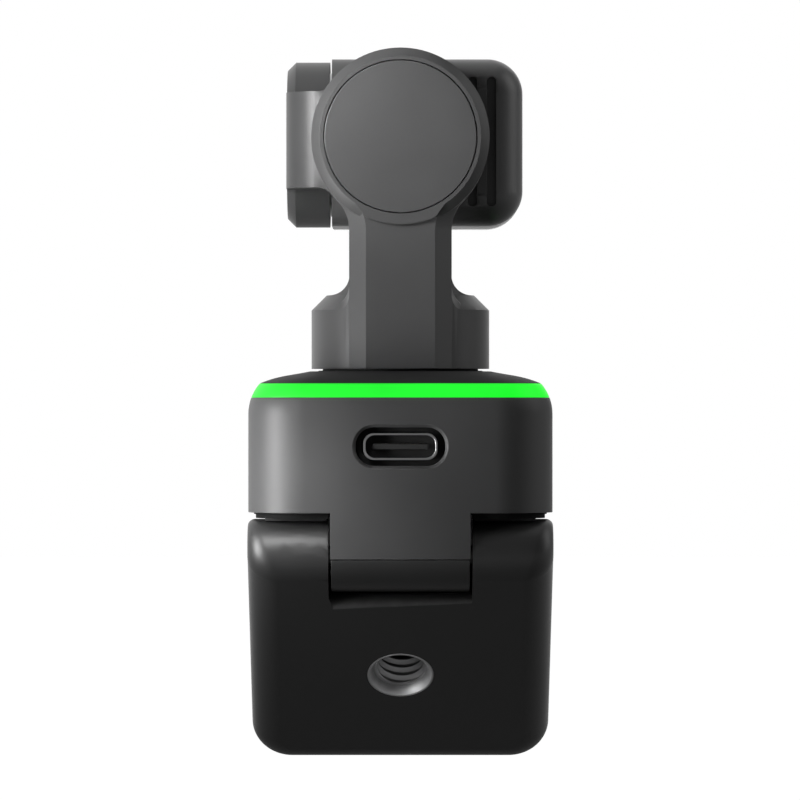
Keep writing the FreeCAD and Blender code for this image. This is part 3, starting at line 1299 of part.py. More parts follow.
def make_roll_arm():
    body = new_body("roll_arm")
    centre = ("0", "roll_axis_z")
    tilt = ("tilt_axis_y", "roll_axis_z")
    half = "band_height / 2"
    pad(body, "band", "Z", "roll_axis_z - %s" % half, "roll_axis_z + %s" % half,
        polygon(("0", "hub_front_y"), ("tilt_inner_x", "hub_front_y"), ("tilt_inner_x", "tilt_axis_y"),
                ("tilt_outer_x", "tilt_axis_y"), ("tilt_outer_x", "band_rear_y"), ("0", "band_rear_y")))

    for number, (sign, turn) in enumerate((("+", 1), ("-", -1)), start=1):
        band_edge = "roll_axis_z %s %s" % (sign, half)
        inside = "roll_axis_z %s (%s - overrun)" % (sign, half)
        tip = "roll_axis_z %s gusset_tip_rise" % sign
        pad(body, "gusset%d" % number, "Y", "hub_front_y", "band_rear_y",
            polygon(("gusset_tip_x", tip, "band_root_fillet", turn), ("gusset_foot_x", band_edge),
                    ("gusset_foot_x", inside), ("gusset_tip_x - overrun", inside)))
    bend_x = "tilt_outer_x - band_outer_round"
    bend_y = "band_rear_y - band_outer_round"
    pocket(body, "bend", "Z", "roll_axis_z - band_height", "roll_axis_z + band_height",
           polygon(("tilt_outer_x", bend_y, "band_outer_round", 1), (bend_x, "band_rear_y"),
                   (bend_x, "band_rear_y + overrun"), ("tilt_outer_x + overrun", "band_rear_y + overrun"),
                   ("tilt_outer_x + overrun", bend_y)))
    pad(body, "hub", "Y", "hub_front_y", "hub_rear_y", circle(*centre, "roll_housing_radius"))
    pad(body, "tilt_housing", "X", "tilt_inner_x", "tilt_outer_x", circle(*tilt, "tilt_housing_radius"))

    def housing_rim(edge):
        return on_level(edge, "X", "tilt_outer_x") and edge.Curve.TypeId == "Part::GeomCircle" \
            and near(edge.Curve.Radius, "tilt_housing_radius")
    soften(body, "Chamfer", "housing_rim", "tilt_housing_chamfer", housing_rim)
    pocket(body, "tilt_cup", "X", "tilt_inner_x", "tilt_cup_x",
           circle(*tilt, "tilt_cup_radius"))
    pocket(body, "tilt_cap_seat", "X", "tilt_cap_x", "tilt_outer_x",
           circle(*tilt, "tilt_cap_radius + cap_seam"))
    pocket(body, "shaft_seat", "Y", "hub_rear_y - shaft_seat_depth", "hub_rear_y",
           circle(*centre, "shaft_radius + seat_gap"))
    pocket(body, "cover_seat", "Y", "hub_front_y", "hub_front_y + hub_cover_thickness",
           circle(*centre, "hub_cover_radius + fit_gap"))
    pocket(body, "cover_screw_holes", "Y", "hub_front_y + hub_cover_thickness",
           "hub_front_y + small_screw_length + fit_gap",
           *[circle(a, b, "small_screw_radius + seat_gap") for a, b in hub_screw_spots()])
    keep(body)

    cover = new_body("hub_cover")
    pad(cover, "disc", "Y", "hub_front_y", "hub_front_y + hub_cover_thickness",
        circle(*centre, "hub_cover_radius"))
    pocket(cover, "screw_holes", "Y", "hub_front_y", "hub_front_y + hub_cover_thickness",
           *[circle(a, b, "small_screw_radius + fit_gap") for a, b in hub_screw_spots()])
    pocket(cover, "head_seats", "Y", "hub_front_y", "hub_front_y + small_screw_head_height",
           *[circle(a, b, "small_screw_head_radius + fit_gap") for a, b in hub_screw_spots()])
    keep(cover)
    screws("hub_screws", "Y", hub_screw_spots(), "hub_front_y", "hub_front_y + small_screw_length", -1,
           "small_screw")


def hub_screw_spots():
    """Three screws spaced evenly round the hub."""
    rise = "hub_screw_ring * sqrt(3) / 2"
    return [("hub_screw_ring", "roll_axis_z"), ("-hub_screw_ring / 2", "roll_axis_z + " + rise),
            ("-hub_screw_ring / 2", "roll_axis_z - " + rise)]


def make_tilt_motor():
    tilt = ("tilt_axis_y", "roll_axis_z")
    coil_ring("tilt_stator", "X", tilt, "tilt_cup_x - tilt_motor_length", "tilt_cup_x", "tilt_coil_radius",
              "small_bearing_radius + seat_gap")
    disc_stack("tilt_bearing", "X", [tilt],
               ("tilt_cup_x - small_bearing_width", "tilt_cup_x", "small_bearing_radius",
                "shaft_radius + running_gap"))
    disc_stack("tilt_cap", "X", [tilt], ("tilt_cap_x", "tilt_outer_x", "tilt_cap_radius", None))
    disc_stack("tilt_magnet_ring", "X", [tilt],
               ("head_left_x", "tilt_cup_x - magnet_end_gap", "tilt_magnet_outer", "tilt_magnet_inner"))
    disc_stack("tilt_shaft", "X", [tilt],
               ("head_left_x - head_wall + seat_gap", "tilt_cup_x - shaft_end_gap", "shaft_radius", None))


# Camera head

def head_blank(body):
    pad(body, "blank", "Y", "head_front_y", "head_rear_y",
        rectangle("head_right_x", "head_left_x", "head_bottom_z", "head_top_z"))

    def side_corner(edge):
        return near(edge.BoundBox.XMax, "head_right_x") and edge.BoundBox.YLength > SMALL
    soften(body, "Fillet", "side_corners", "head_corner", side_corner)

    def rim(level):
        def wanted(edge):
            return on_level(edge, "Y", level) and not on_level(edge, "X", "head_left_x")
        return wanted
    soften(body, "Fillet", "rear_edge", "head_rear_edge", rim("head_rear_y"))
    soften(body, "Fillet", "front_edge", "head_front_edge", rim("head_front_y"))


def head_screw_spots():
    return [("head_centre_x %s head_screw_x" % a, "roll_axis_z %s head_screw_z" % b)
            for a in "+-" for b in "+-"]


def head_section(inset):
    """The head's outline moved inwards, for its hollow and what fits into it."""
    return rounded("head_right_x + %s" % inset, "head_left_x - %s" % inset, "head_bottom_z + %s" % inset,
                   "head_top_z - %s" % inset, "head_inner_corner")


def make_head_rear_shell():
    body = new_body("head_rear_shell")
    head_blank(body)
    pocket(body, "front_off", "Y", "head_front_y", "head_split_y",
           head_section("-overrun"))
    pocket(body, "hollow", "Y", "head_split_y", "head_rear_y - head_rear_wall", head_section("head_wall"))
    groove_low = "head_right_x + fin_first_inset"
    groove = pocket(body, "groove", "Y", "head_rear_y - fin_depth", "head_rear_y",
                    rounded(groove_low, groove_low + " + fin_groove", "head_bottom_z + fin_margin",
                            "head_top_z - fin_margin", "fin_end_round"))
    doc.recompute()
    grooves = body.newObject("PartDesign::LinearPattern", "head_rear_shell_grooves")
    grooves.Originals = [groove]
    grooves.Direction = (groove.Profile[0], ["H_Axis"])
    grooves.setExpression("Length", formula("fin_pitch * (fin_count - 1)"))
    grooves.setExpression("Occurrences", formula("fin_count"))
    body.Tip = grooves
    pad(body, "screw_posts", "Y", "sensor_board_y", "head_rear_y - head_rear_wall",
        *[circle(a, b, "head_post_radius") for a, b in head_screw_spots()])
    pocket(body, "screw_holes", "Y", "sensor_board_y", "holder_rear_y + head_screw_length + fit_gap",
           *[circle(a, b, "screw_radius + seat_gap") for a, b in head_screw_spots()])
    pocket(body, "shaft_hole", "X", "head_left_x - head_wall", "head_left_x",
           circle("tilt_axis_y", "roll_axis_z", "shaft_radius + seat_gap"))
    return keep(body)


def make_head_front():
    body = new_body("head_front_bezel")
    centre = ("head_centre_x", "roll_axis_z")
    head_blank(body)
    pocket(body, "rear_off", "Y", "head_split_y", "head_rear_y + overrun",
           head_section("-overrun"))
    pocket(body, "hollow", "Y", "head_front_y + head_front_wall", "head_split_y",
           head_section("(head_wall + snap_rim_wall)"))
    pocket(body, "lens_hole", "Y", "head_front_y - overrun", "head_split_y",
           circle(*centre, "lens_barrel_radius + fit_gap"))
    pocket(body, "ring_seat", "Y", "head_front_y - overrun", "head_front_y + lens_ring_depth",
           circle(*centre, "lens_ring_radius + seat_gap"))
    pad(body, "snap_rim", "Y", "head_split_y - overrun", "head_split_y + snap_rim_length",
        head_section("(head_wall + seat_gap)"), head_section("(head_wall + snap_rim_wall)"))
    keep(body)

    ring = disc_stack("lens_ring", "Y", [centre],
                      ("head_front_y - lens_ring_proud", "head_front_y + lens_ring_depth - seat_gap",
                       "lens_ring_radius", "lens_ring_radius - lens_ring_width"))
    soften(ring, "Chamfer", "edge", "lens_ring_edge",
           lambda edge: on_level(edge, "Y", "head_front_y - lens_ring_proud"))
    disc_stack("front_glass", "Y", [centre],
               ("glass_front_y", "glass_rear_y", "lens_ring_radius - lens_ring_width - seat_gap", None))
    disc_stack("lens_barrel", "Y", [centre],
               ("barrel_front_y", "barrel_rear_y", "lens_barrel_radius", "lens_barrel_bore"))


def make_lens_elements():
    """Biconvex lenses in the barrel, each turned round the optical axis."""
    body = new_body("lens_elements")
    for number in range(round(value("lens_count"))):
        middle = "barrel_front_y + lens_first + %d * lens_spacing" % number
        rise = value("lens_curve_radius") - math.sqrt(value("lens_curve_radius") ** 2
                                                      - value("lens_barrel_bore") ** 2)
        half_rim = value("lens_rim") / 2
        axis_x = value("head_centre_x")
        centre_y = value(middle)
        sketch = new_sketch(body, "profile%d" % number, "Z", "roll_axis_z", [])
        rim_x = axis_x + value("lens_barrel_bore")
        top = Vector(axis_x, centre_y + half_rim + rise, 0)
        bottom = Vector(axis_x, centre_y - half_rim - rise, 0)
        rim_top = Vector(rim_x, centre_y + half_rim, 0)
        rim_bottom = Vector(rim_x, centre_y - half_rim, 0)
        along = value("lens_barrel_bore") / 2
        bulge = value("lens_curve_radius") - math.sqrt(value("lens_curve_radius") ** 2 - along ** 2)
        upper_mid = Vector(axis_x + along, top.y - bulge, 0)
        lower_mid = Vector(axis_x + along, bottom.y + bulge, 0)
        sketch.addGeometry(Part.LineSegment(bottom, top), False)
        sketch.addGeometry(Part.Arc(top, upper_mid, rim_top), False)
        sketch.addGeometry(Part.LineSegment(rim_top, rim_bottom), False)
        sketch.addGeometry(Part.Arc(rim_bottom, lower_mid, bottom), False)
        lens = body.newObject("PartDesign::Revolution", "lens_elements_turn%d" % number)
        lens.Profile = sketch
        sketch.addGeometry(Part.LineSegment(bottom, top), True)
        lens.ReferenceAxis = (sketch, ["Axis0"])
        lens.Angle = 360
    return keep(body)


def make_sensor():
    centre_x, centre_z = "head_centre_x", "roll_axis_z"

    def oblong(half, half_height):
        return rectangle("%s - (%s)" % (centre_x, half), "%s + (%s)" % (centre_x, half),
                         "%s - (%s)" % (centre_z, half_height), "%s + (%s)" % (centre_z, half_height))

    def square(half):
        return oblong(half, half)
    holder = new_body("sensor_holder")
    pad(holder, "frame", "Y", "barrel_rear_y", "holder_rear_y", square("holder_half"),
        circle(centre_x, centre_z, "lens_barrel_bore"))
    pocket(holder, "window", "Y", "holder_rear_y - sensor_thickness", "holder_rear_y",
           square("sensor_size / 2 + fit_gap"))
    keep(holder)
    sensor = new_body("image_sensor")
    pad(sensor, "plate", "Y", "holder_rear_y - sensor_thickness + seat_gap", "holder_rear_y",
        square("sensor_size / 2"))
    keep(sensor)
    board = new_body("sensor_board")
    pad(board, "plate", "Y", "holder_rear_y", "sensor_board_y",
        oblong("sensor_board_half", "sensor_board_half_height"))
    pocket(board, "screw_holes", "Y", "holder_rear_y", "sensor_board_y",
           *[circle(a, b, "screw_radius + fit_gap") for a, b in head_screw_spots()])
    keep(board)
    heat_plate = new_body("head_heat_plate")
    pad(heat_plate, "plate", "Y", "sensor_board_y", "sensor_board_y + head_plate_thickness",
        oblong("head_plate_half", "sensor_board_half_height"))
    keep(heat_plate)
    screws("head_screws", "Y", head_screw_spots(), "holder_rear_y - screw_head_height",
           "holder_rear_y + head_screw_length", -1)


def check_and_write():
    doc.recompute()
    broken = [item.Name for item in doc.Objects if {"Invalid", "Error"} & set(item.State)]
    if broken:
        raise RuntimeError("objects that did not build: " + ", ".join(broken))
    for item in NODES:
        if item.Shape.isNull() or not item.Shape.isValid() or not item.Shape.Solids:
            raise RuntimeError("no valid solid in " + item.Label)
    os.makedirs(PARTS_FOLDER, exist_ok=True)
    for item in NODES:
        item.Shape.exportStep(os.path.join(PARTS_FOLDER, item.Label + ".step"))


make_base_shell()
make_light_strip()
make_base_top_cover()
make_base_bottom_plate()
make_seat_pad()
make_front_lip()
make_port()
make_electronics()
make_hinge()
make_foot_shell()
make_foot_fittings()
make_pan_motor()
make_pan_arm()
make_roll_motor()
make_roll_arm()
make_tilt_motor()
make_head_rear_shell()
make_head_front()
make_lens_elements()
make_sensor()
check_and_write()
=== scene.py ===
import json
import math

import bmesh
import bpy
from mathutils import Matrix, Vector

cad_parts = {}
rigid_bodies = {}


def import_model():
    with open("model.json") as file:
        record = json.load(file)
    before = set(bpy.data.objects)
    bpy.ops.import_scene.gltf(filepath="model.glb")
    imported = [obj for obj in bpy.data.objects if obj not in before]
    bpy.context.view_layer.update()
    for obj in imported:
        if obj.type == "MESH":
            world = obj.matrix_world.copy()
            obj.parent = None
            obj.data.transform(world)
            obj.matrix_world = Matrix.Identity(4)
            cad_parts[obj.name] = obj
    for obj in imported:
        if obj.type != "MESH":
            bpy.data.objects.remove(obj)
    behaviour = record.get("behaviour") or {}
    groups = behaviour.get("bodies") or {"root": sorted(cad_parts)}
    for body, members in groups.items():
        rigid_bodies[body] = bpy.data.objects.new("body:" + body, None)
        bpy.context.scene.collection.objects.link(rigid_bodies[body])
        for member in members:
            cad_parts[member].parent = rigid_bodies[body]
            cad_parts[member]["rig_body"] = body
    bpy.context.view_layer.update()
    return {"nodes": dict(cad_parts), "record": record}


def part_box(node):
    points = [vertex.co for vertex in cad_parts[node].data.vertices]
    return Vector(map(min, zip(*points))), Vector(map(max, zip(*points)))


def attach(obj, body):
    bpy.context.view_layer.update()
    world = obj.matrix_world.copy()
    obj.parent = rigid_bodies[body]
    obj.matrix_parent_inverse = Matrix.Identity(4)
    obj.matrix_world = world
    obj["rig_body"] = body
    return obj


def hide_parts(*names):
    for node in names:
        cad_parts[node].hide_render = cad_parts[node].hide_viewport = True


# Webcam with a three-axis gimbal on a clip base, seen from behind with the clip foot opened.
# The scene is in metres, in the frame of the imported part: the lens looks along -Y and +Z is up.
# The sizes of pieces are written in millimetres, those of the stage, lamps and camera in metres.

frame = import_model()
NODES = frame["nodes"]
MM = 0.001

# The photograph's view: the camera looks along -Y, level, through the middle of the picture.
# The sensor's width is in millimetres, as Blender takes it.
PHOTO_SIDE = 800
PIXELS_PER_RADIAN = 5500.0
SENSOR_WIDTH = 36.0
CAMERA_PLACE = Vector((0.00005, 0.680, 0.014))


# Shader helpers

def add(tree, kind, **settings):
    made = tree.nodes.new(kind)
    for key, setting in settings.items():
        setattr(made, key, setting)
    return made


def put(tree, target, source):
    """Feed a socket from another socket, or set its own value."""
    if isinstance(source, bpy.types.NodeSocket):
        tree.links.new(source, target)
    else:
        target.default_value = source


def fill(tree, node, sources):
    """Feed or set a node's inputs, given by their names or numbers."""
    for key, source in sources.items():
        put(tree, node.inputs[key], source)


def math_node(tree, operation, first, second, third=0.0, clamp=False):
    made = add(tree, "ShaderNodeMath", operation=operation, use_clamp=clamp)
    fill(tree, made, {0: first, 1: second, 2: third})
    return made.outputs[0]


def ranged(tree, source, span, levels=(0.0, 1.0)):
    """A value whose span from low to high is stretched over two levels, and held at them beyond it."""
    made = add(tree, "ShaderNodeMapRange")
    fill(tree, made, {"Value": source, "From Min": span[0], "From Max": span[1],
                      "To Min": levels[0], "To Max": levels[1]})
    return made.outputs["Result"]


def object_place(tree):
    return add(tree, "ShaderNodeTexCoord").outputs["Object"]


def noise(tree, scale, detail, roughness=0.5):
    made = add(tree, "ShaderNodeTexNoise")
    fill(tree, made, {"Vector": object_place(tree), "Scale": scale, "Detail": detail,
                      "Roughness": roughness})
    return made.outputs["Fac"]


def scaled(tree, vector, factor):
    made = add(tree, "ShaderNodeVectorMath", operation="SCALE")
    fill(tree, made, {0: vector, "Scale": factor})
    return made.outputs["Vector"]


def blended(tree, share, first, second):
    """A colour between two, by a share from 0 to 1."""
    made = add(tree, "ShaderNodeMix", data_type="RGBA")
    fill(tree, made, {"Factor": share, "A": first, "B": second})
    return made.outputs["Result"]


def new_group(name, inputs, outputs):
    """An empty node group, its input node and its output node; the sockets are given as name: kind."""
    tree = bpy.data.node_groups.new(name, "ShaderNodeTree")
    for direction, sockets in (("INPUT", inputs), ("OUTPUT", outputs)):
        for label, kind in sockets.items():
            tree.interface.new_socket(label, in_out=direction, socket_type="NodeSocket" + kind)
    return tree, add(tree, "NodeGroupInput"), add(tree, "NodeGroupOutput")


# Surface grain: a slow drift, how far it moves tone and roughness, and the fine grain's share in it
DRIFT_SCALE = 90.0
TONE_DRIFT = 0.1
ROUGHNESS_DRIFT = 0.04
FINE_SHARE = 0.5
SPECK_SPAN = (0.45, 1.05)
NOISE_DETAIL = 3.0


def grain_group():
    """Moulded or blasted grain: a fine relief, and a slow drift of the tone and the gloss."""
    tree, given, result = new_group(
        "surface_grain",
        {"Grain Scale": "Float", "Tone": "Color", "Roughness": "Float"},
        {"Height": "Float", "Color": "Color", "Roughness": "Float"})
    fine = noise(tree, given.outputs["Grain Scale"], NOISE_DETAIL, roughness=0.6)
    slow = noise(tree, DRIFT_SCALE, NOISE_DETAIL, roughness=0.55)
    speck = math_node(tree, "MULTIPLY_ADD", fine, FINE_SHARE, slow)
    share = ranged(tree, speck, SPECK_SPAN, (-1.0, 1.0))
    factor = math_node(tree, "MULTIPLY_ADD", share, TONE_DRIFT, 1.0)
    fill(tree, result, {
        "Height": fine,
        "Color": scaled(tree, given.outputs["Tone"], factor),
        "Roughness": math_node(tree, "MULTIPLY_ADD", share, ROUGHNESS_DRIFT, given.outputs["Roughness"])})
    return tree


# Edge wear: the mark on rounded edges, the patches it comes in, and how it changes tone and gloss
WEAR_MARK = "worn_edge"
PATCH_SCALE = 420.0
PATCH_SPAN = (0.4, 0.62)
WORN_GAIN = 1.9
WORN_LIFT = 0.01
WORN_SMOOTHING = -0.25


def wear_group():
    """Handling wear: rounded edges are rubbed paler and smoother, in patches."""
    tree, given, result = new_group(
        "edge_wear",
        {"Color": "Color", "Roughness": "Float", "Worn Tone": "Color", "Amount": "Float"},
        {"Color": "Color", "Roughness": "Float"})
    mark = add(tree, "ShaderNodeAttribute", attribute_name=WEAR_MARK).outputs["Fac"]
    patches = ranged(tree, noise(tree, PATCH_SCALE, NOISE_DETAIL, roughness=0.6), PATCH_SPAN)
    share = math_node(tree, "MULTIPLY", mark, patches)
    share = math_node(tree, "MULTIPLY", share, given.outputs["Amount"], clamp=True)
    smoother = math_node(tree, "MULTIPLY_ADD", share, WORN_SMOOTHING, 1.0)
    fill(tree, result, {
        "Color": blended(tree, share, given.outputs["Color"], given.outputs["Worn Tone"]),
        "Roughness": math_node(tree, "MULTIPLY", given.outputs["Roughness"], smoother)})
    return tree


GRAIN = grain_group()
WEAR = wear_group()


def empty_material(name):
    """A material with nothing in it yet, its tree and the socket that takes its surface."""
    material = bpy.data.materials.new(name)
    material.use_nodes = True
    tree = material.node_tree
    tree.nodes.clear()
    return material, tree, add(tree, "ShaderNodeOutputMaterial").inputs["Surface"]


def new_material(name):
    material, tree, surface = empty_material(name)
    shader = add(tree, "ShaderNodeBsdfPrincipled")
    put(tree, surface, shader.outputs["BSDF"])
    return material, tree, shader


def grained(name, tone, roughness, relief, grain_scale=9000.0, metallic=0.0, specular=0.5, wear=0.0):
    """A finish with fine grain, used for moulded plastic, blasted metal, rubber and steel."""
    material, tree, shader = new_material(name)
    grain = add(tree, "ShaderNodeGroup", node_tree=GRAIN)
    fill(tree, grain, {"Grain Scale": grain_scale, "Tone": (*tone, 1.0), "Roughness": roughness})
    color, rough = grain.outputs["Color"], grain.outputs["Roughness"]
    if wear:
        worn = add(tree, "ShaderNodeGroup", node_tree=WEAR)
        worn_tone = (*[level * WORN_GAIN + WORN_LIFT for level in tone], 1.0)
        fill(tree, worn, {"Color": color, "Roughness": rough, "Worn Tone": worn_tone, "Amount": wear})
        color, rough = worn.outputs["Color"], worn.outputs["Roughness"]
    bump = add(tree, "ShaderNodeBump")
    fill(tree, bump, {"Strength": 1.0, "Distance": relief * MM, "Height": grain.outputs["Height"]})
    fill(tree, shader, {"Base Color": color, "Roughness": rough, "Normal": bump.outputs["Normal"],
                        "Metallic": metallic, "Specular IOR Level": specular})
    return material


# The lit ring's own colour, its glow, and how unevenly it glows
STRIP_TINT = (0.015, 0.1, 0.02, 1.0)
STRIP_GLOW = (0.006, 0.93, 0.02)
STRIP_DRIFT_SCALE = 160.0
STRIP_DRIFT_SPAN = (0.3, 0.7)
STRIP_LEVELS = (0.9, 1.04)


def strip_material():
    """The lit ring: green plastic that glows a little unevenly."""
    material, tree, shader = new_material("lit_strip")
    level = ranged(tree, noise(tree, STRIP_DRIFT_SCALE, 1.0), STRIP_DRIFT_SPAN, STRIP_LEVELS)
    fill(tree, shader, {"Base Color": STRIP_TINT, "Roughness": 0.45, "Specular IOR Level": 0.15,
                        "Emission Color": scaled(tree, STRIP_GLOW, level), "Emission Strength": 1.0})
    return material


def glass_material(name, tint):
    material, tree, shader = new_material(name)
    fill(tree, shader, {"Base Color": (*tint, 1.0), "Roughness": 0.02, "IOR": 1.5,
                        "Transmission Weight": 1.0})
    return material


COOLNESS = 1.01


def grey(level):
    """A grey that leans a very little to blue."""
    return (level, level, level * COOLNESS)


# Each finish with its tone, its roughness and the depth of its grain in millimetres
MATERIALS = {
    "casing": grained("casing_plastic", grey(0.045), 0.52, relief=0.004, specular=0.3, wear=0.5),
    "dome": grained("dome_plastic", grey(0.022), 0.6, relief=0.004, specular=0.1, wear=0.4),
    "foot": grained("foot_plastic", grey(0.011), 0.46, relief=0.004, specular=0.5, wear=0.4),
    "head": grained("head_metal", grey(0.055), 0.4, relief=0.004, grain_scale=7000.0,
                    specular=0.45, wear=0.6),
    "arm": grained("arm_metal", grey(0.042), 0.42, relief=0.004, grain_scale=7000.0,
                   specular=0.3, wear=0.6),
    "front": grained("front_satin", grey(0.014), 0.25, relief=0.002, specular=0.4, wear=0.3),
    # Near-black for the underside plate: partly its own colour, partly painted shade under the casing's rear
    # edge
    "black": grained("matt_black_painted_shade", grey(0.006), 0.8, relief=0.004, specular=0.1),
    "rubber": grained("rubber", grey(0.018), 0.78, relief=0.012, grain_scale=4000.0, specular=0.15),
    "dark_steel": grained("blackened_steel", grey(0.12), 0.36, relief=0.004, metallic=1.0, wear=0.7),
    "port_steel": grained("port_steel", grey(0.3), 0.34, relief=0.003, metallic=1.0),
    "bush_steel": grained("bush_steel", grey(0.4), 0.56, relief=0.006, metallic=1.0, wear=0.6),
    "nickel": grained("nickel_plate", grey(0.55), 0.3, relief=0.002, metallic=1.0),
    "gold": grained("contact_gold", (0.42, 0.29, 0.1), 0.3, relief=0.002, metallic=1.0),
    "bare_aluminium": grained("bare_aluminium", (0.6, 0.61, 0.63), 0.35, relief=0.005, metallic=1.0),
    "copper": grained("enamelled_copper", (0.62, 0.28, 0.12), 0.35, relief=0.01, metallic=0.8),
    "board": grained("solder_mask", (0.01, 0.09, 0.04), 0.35, relief=0.01, grain_scale=1500.0),
    "chip": grained("chip_resin", grey(0.03), 0.55, relief=0.006),
    "ribbon": grained("polyimide", (0.36, 0.15, 0.02), 0.3, relief=0.003),
    "strip": strip_material(),
    "clear_glass": glass_material("clear_glass", (0.9, 0.92, 0.96)),
    "coated_glass": glass_material("coated_glass", (0.75, 0.82, 0.98)),
    "sensor_glass": grained("sensor_glass", (0.03, 0.02, 0.07), 0.12, relief=0.001),
}


# Mesh helpers

# In metres: points that are one point, and points that lie on a level
MERGE = 1e-7
NEAR = 0.01 * MM

# In degrees: faces that are one face, edges that get rounded, and edges that break the shading
FLAT_ANGLE = 0.3
SHARP_ANGLE = 28.0
CREASE_ANGLE = 35.0

# The least cosine between two directions that count as one
ALIGNED = 0.99

# Steps in a full turn of a finely lathed form, and in a plate's round corner
FINE_STEPS = 72
CORNER_SEGMENTS = 10


def merged_copy(node):
    """A node's mesh with its loose triangles joined into faces."""
    bm = bmesh.new()
    bm.from_mesh(NODES[node].data)
    bmesh.ops.remove_doubles(bm, verts=bm.verts, dist=MERGE)
    bmesh.ops.dissolve_limit(bm, angle_limit=math.radians(FLAT_ANGLE), verts=bm.verts, edges=bm.edges,
                             use_dissolve_boundaries=False)
    return bm


def sharp_edges(bm):
    return [edge for edge in bm.edges
            if len(edge.link_faces) == 2 and edge.calc_face_angle(0) > math.radians(SHARP_ANGLE)]


def round_edges(bm, edges, size, segments=2):
    """Round edges over, and mark the new faces as places that wear."""
    mark = bm.faces.layers.float.get(WEAR_MARK) or bm.faces.layers.float.new(WEAR_MARK)
    made = bmesh.ops.bevel(bm, geom=edges, offset=size * MM, offset_type="OFFSET", affect="EDGES",
                           segments=segments, profile=0.5, clamp_overlap=True, material=-1)
    for face in made["faces"]:
        face[mark] = 1.0


def close_holes(bm):
    bmesh.ops.holes_fill(bm, edges=[edge for edge in bm.edges if edge.is_boundary], sides=0)


def cut(bm, place, direction, drop=False):
    """Cut along a plane, and drop what lies beyond it in the direction where that is asked."""
    bmesh.ops.bisect_plane(bm, geom=bm.verts[:] + bm.edges[:] + bm.faces[:], dist=MERGE,
                           plane_co=place, plane_no=direction, clear_outer=drop)


def lathed(profile, steps, turn=math.tau, rise=0.0):
    """A closed outline of (radius, height) points, turned about +Z.

    steps is the number of steps in a full turn, and rise a helix's climb in one.
    """
    bm = bmesh.new()
    verts = [bm.verts.new((radius * MM, 0.0, height * MM)) for radius, height in profile]
    edges = [bm.edges.new(pair) for pair in zip(verts, verts[1:] + verts[:1])]
    count = round(steps * turn / math.tau)
    bmesh.ops.spin(bm, geom=verts + edges, cent=(0, 0, 0), axis=(0, 0, 1), angle=turn, steps=count,
                   dvec=(0, 0, rise * MM / steps), use_merge=rise == 0.0)
    bmesh.ops.remove_doubles(bm, verts=bm.verts, dist=MERGE)
    if rise:
        close_holes(bm)
    bmesh.ops.recalc_face_normals(bm, faces=bm.faces)
    return bm


def rounded_block(sizes, edge, segments=2):
    """A block with rounded edges, centred on the origin."""
    bm = bmesh.new()
    bmesh.ops.create_cube(bm, size=MM)
    bmesh.ops.scale(bm, vec=sizes, verts=bm.verts)
    round_edges(bm, bm.edges[:], edge, segments)
    return bm


def rounded_plate(width, height, corner):
    """One flat face with round corners, centred on the origin and facing +Z."""
    bm = bmesh.new()
    bmesh.ops.create_grid(bm, x_segments=1, y_segments=1, size=MM / 2)
    bmesh.ops.scale(bm, vec=(width, height, 1.0), verts=bm.verts)
    bmesh.ops.bevel(bm, geom=bm.verts[:], offset=corner * MM, offset_type="OFFSET", affect="VERTICES",
                    segments=CORNER_SEGMENTS, profile=0.5, clamp_overlap=True, material=-1)
    return bm


def extruded(bm, faces, depth, grow):
    """Push faces along +Z, growing or shrinking them by a margin in x and y; gives the new faces."""
    made = bmesh.ops.extrude_face_region(bm, geom=faces)["geom"]
    verts = [part for part in made if isinstance(part, bmesh.types.BMVert)]
    half_x = max(vert.co.x for vert in verts)
    half_y = max(vert.co.y for vert in verts)
    bmesh.ops.scale(bm, vec=(1 + grow * MM / half_x, 1 + grow * MM / half_y, 1.0), verts=verts)
    bmesh.ops.translate(bm, vec=(0, 0, depth * MM), verts=verts)
    bmesh.ops.delete(bm, geom=faces, context="FACES_ONLY")
    return [part for part in made if isinstance(part, bmesh.types.BMFace)]


def facing(place, direction):
    """The matrix that takes a form drawn along +Z to a place, looking in a direction."""
    turn = Vector(direction).to_track_quat("Z", "Y").to_matrix().to_4x4()
    return Matrix.Translation(Vector(place)) @ turn


def move(bm, matrix):
    bmesh.ops.transform(bm, matrix=matrix, verts=bm.verts)


def copies(form, places):
    """One bmesh that holds a form at each of the given matrices."""
    mesh = bpy.data.meshes.new("form")
    form.to_mesh(mesh)
    form.free()
    bm = bmesh.new()
    for place in places:
        first = len(bm.verts)
        bm.from_mesh(mesh)
        bm.verts.ensure_lookup_table()
        bmesh.ops.transform(bm, matrix=place, verts=bm.verts[first:])
    bpy.data.meshes.remove(mesh)
    return bm


def new_object(name, data):
    made = bpy.data.objects.new(name, data)
    bpy.context.scene.collection.objects.link(made)
    return made


def new_piece(name, bm, finish, body, slot, *nodes):
    """A finished piece from a bmesh: smooth shading broken at creases, riding on its body."""
    mesh = bpy.data.meshes.new(name)
    for face in bm.faces:
        face.smooth = True
    for edge in bm.edges:
        edge.smooth = len(edge.link_faces) == 2 and edge.calc_face_angle(0) < math.radians(CREASE_ANGLE)
    bm.to_mesh(mesh)
    bm.free()
    piece = new_object(name, mesh)
    mesh.materials.append(MATERIALS[finish])
    weighted = piece.modifiers.new("weighted_normals", "WEIGHTED_NORMAL")
    weighted.keep_sharp = True
    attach(piece, body)
    if nodes:
        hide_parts(*nodes)


def body_of(node):
    return NODES[node]["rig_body"]


# The tripod socket's mouth, and the direction that it and the foot's outer face look in

SOCKET = next(mount for mount in frame["record"]["mounts"] if mount["name"] == "tripod_socket")
SOCKET_AXIS = Vector(SOCKET["axis"]).normalized()
SOCKET_MIDDLE = Vector(SOCKET["pos_m"])
SOCKET_RISE = max((vert.co - SOCKET_MIDDLE).dot(SOCKET_AXIS) for vert in NODES["tripod_bush"].data.vertices)
SOCKET_MOUTH = SOCKET_MIDDLE + SOCKET_AXIS * SOCKET_RISE


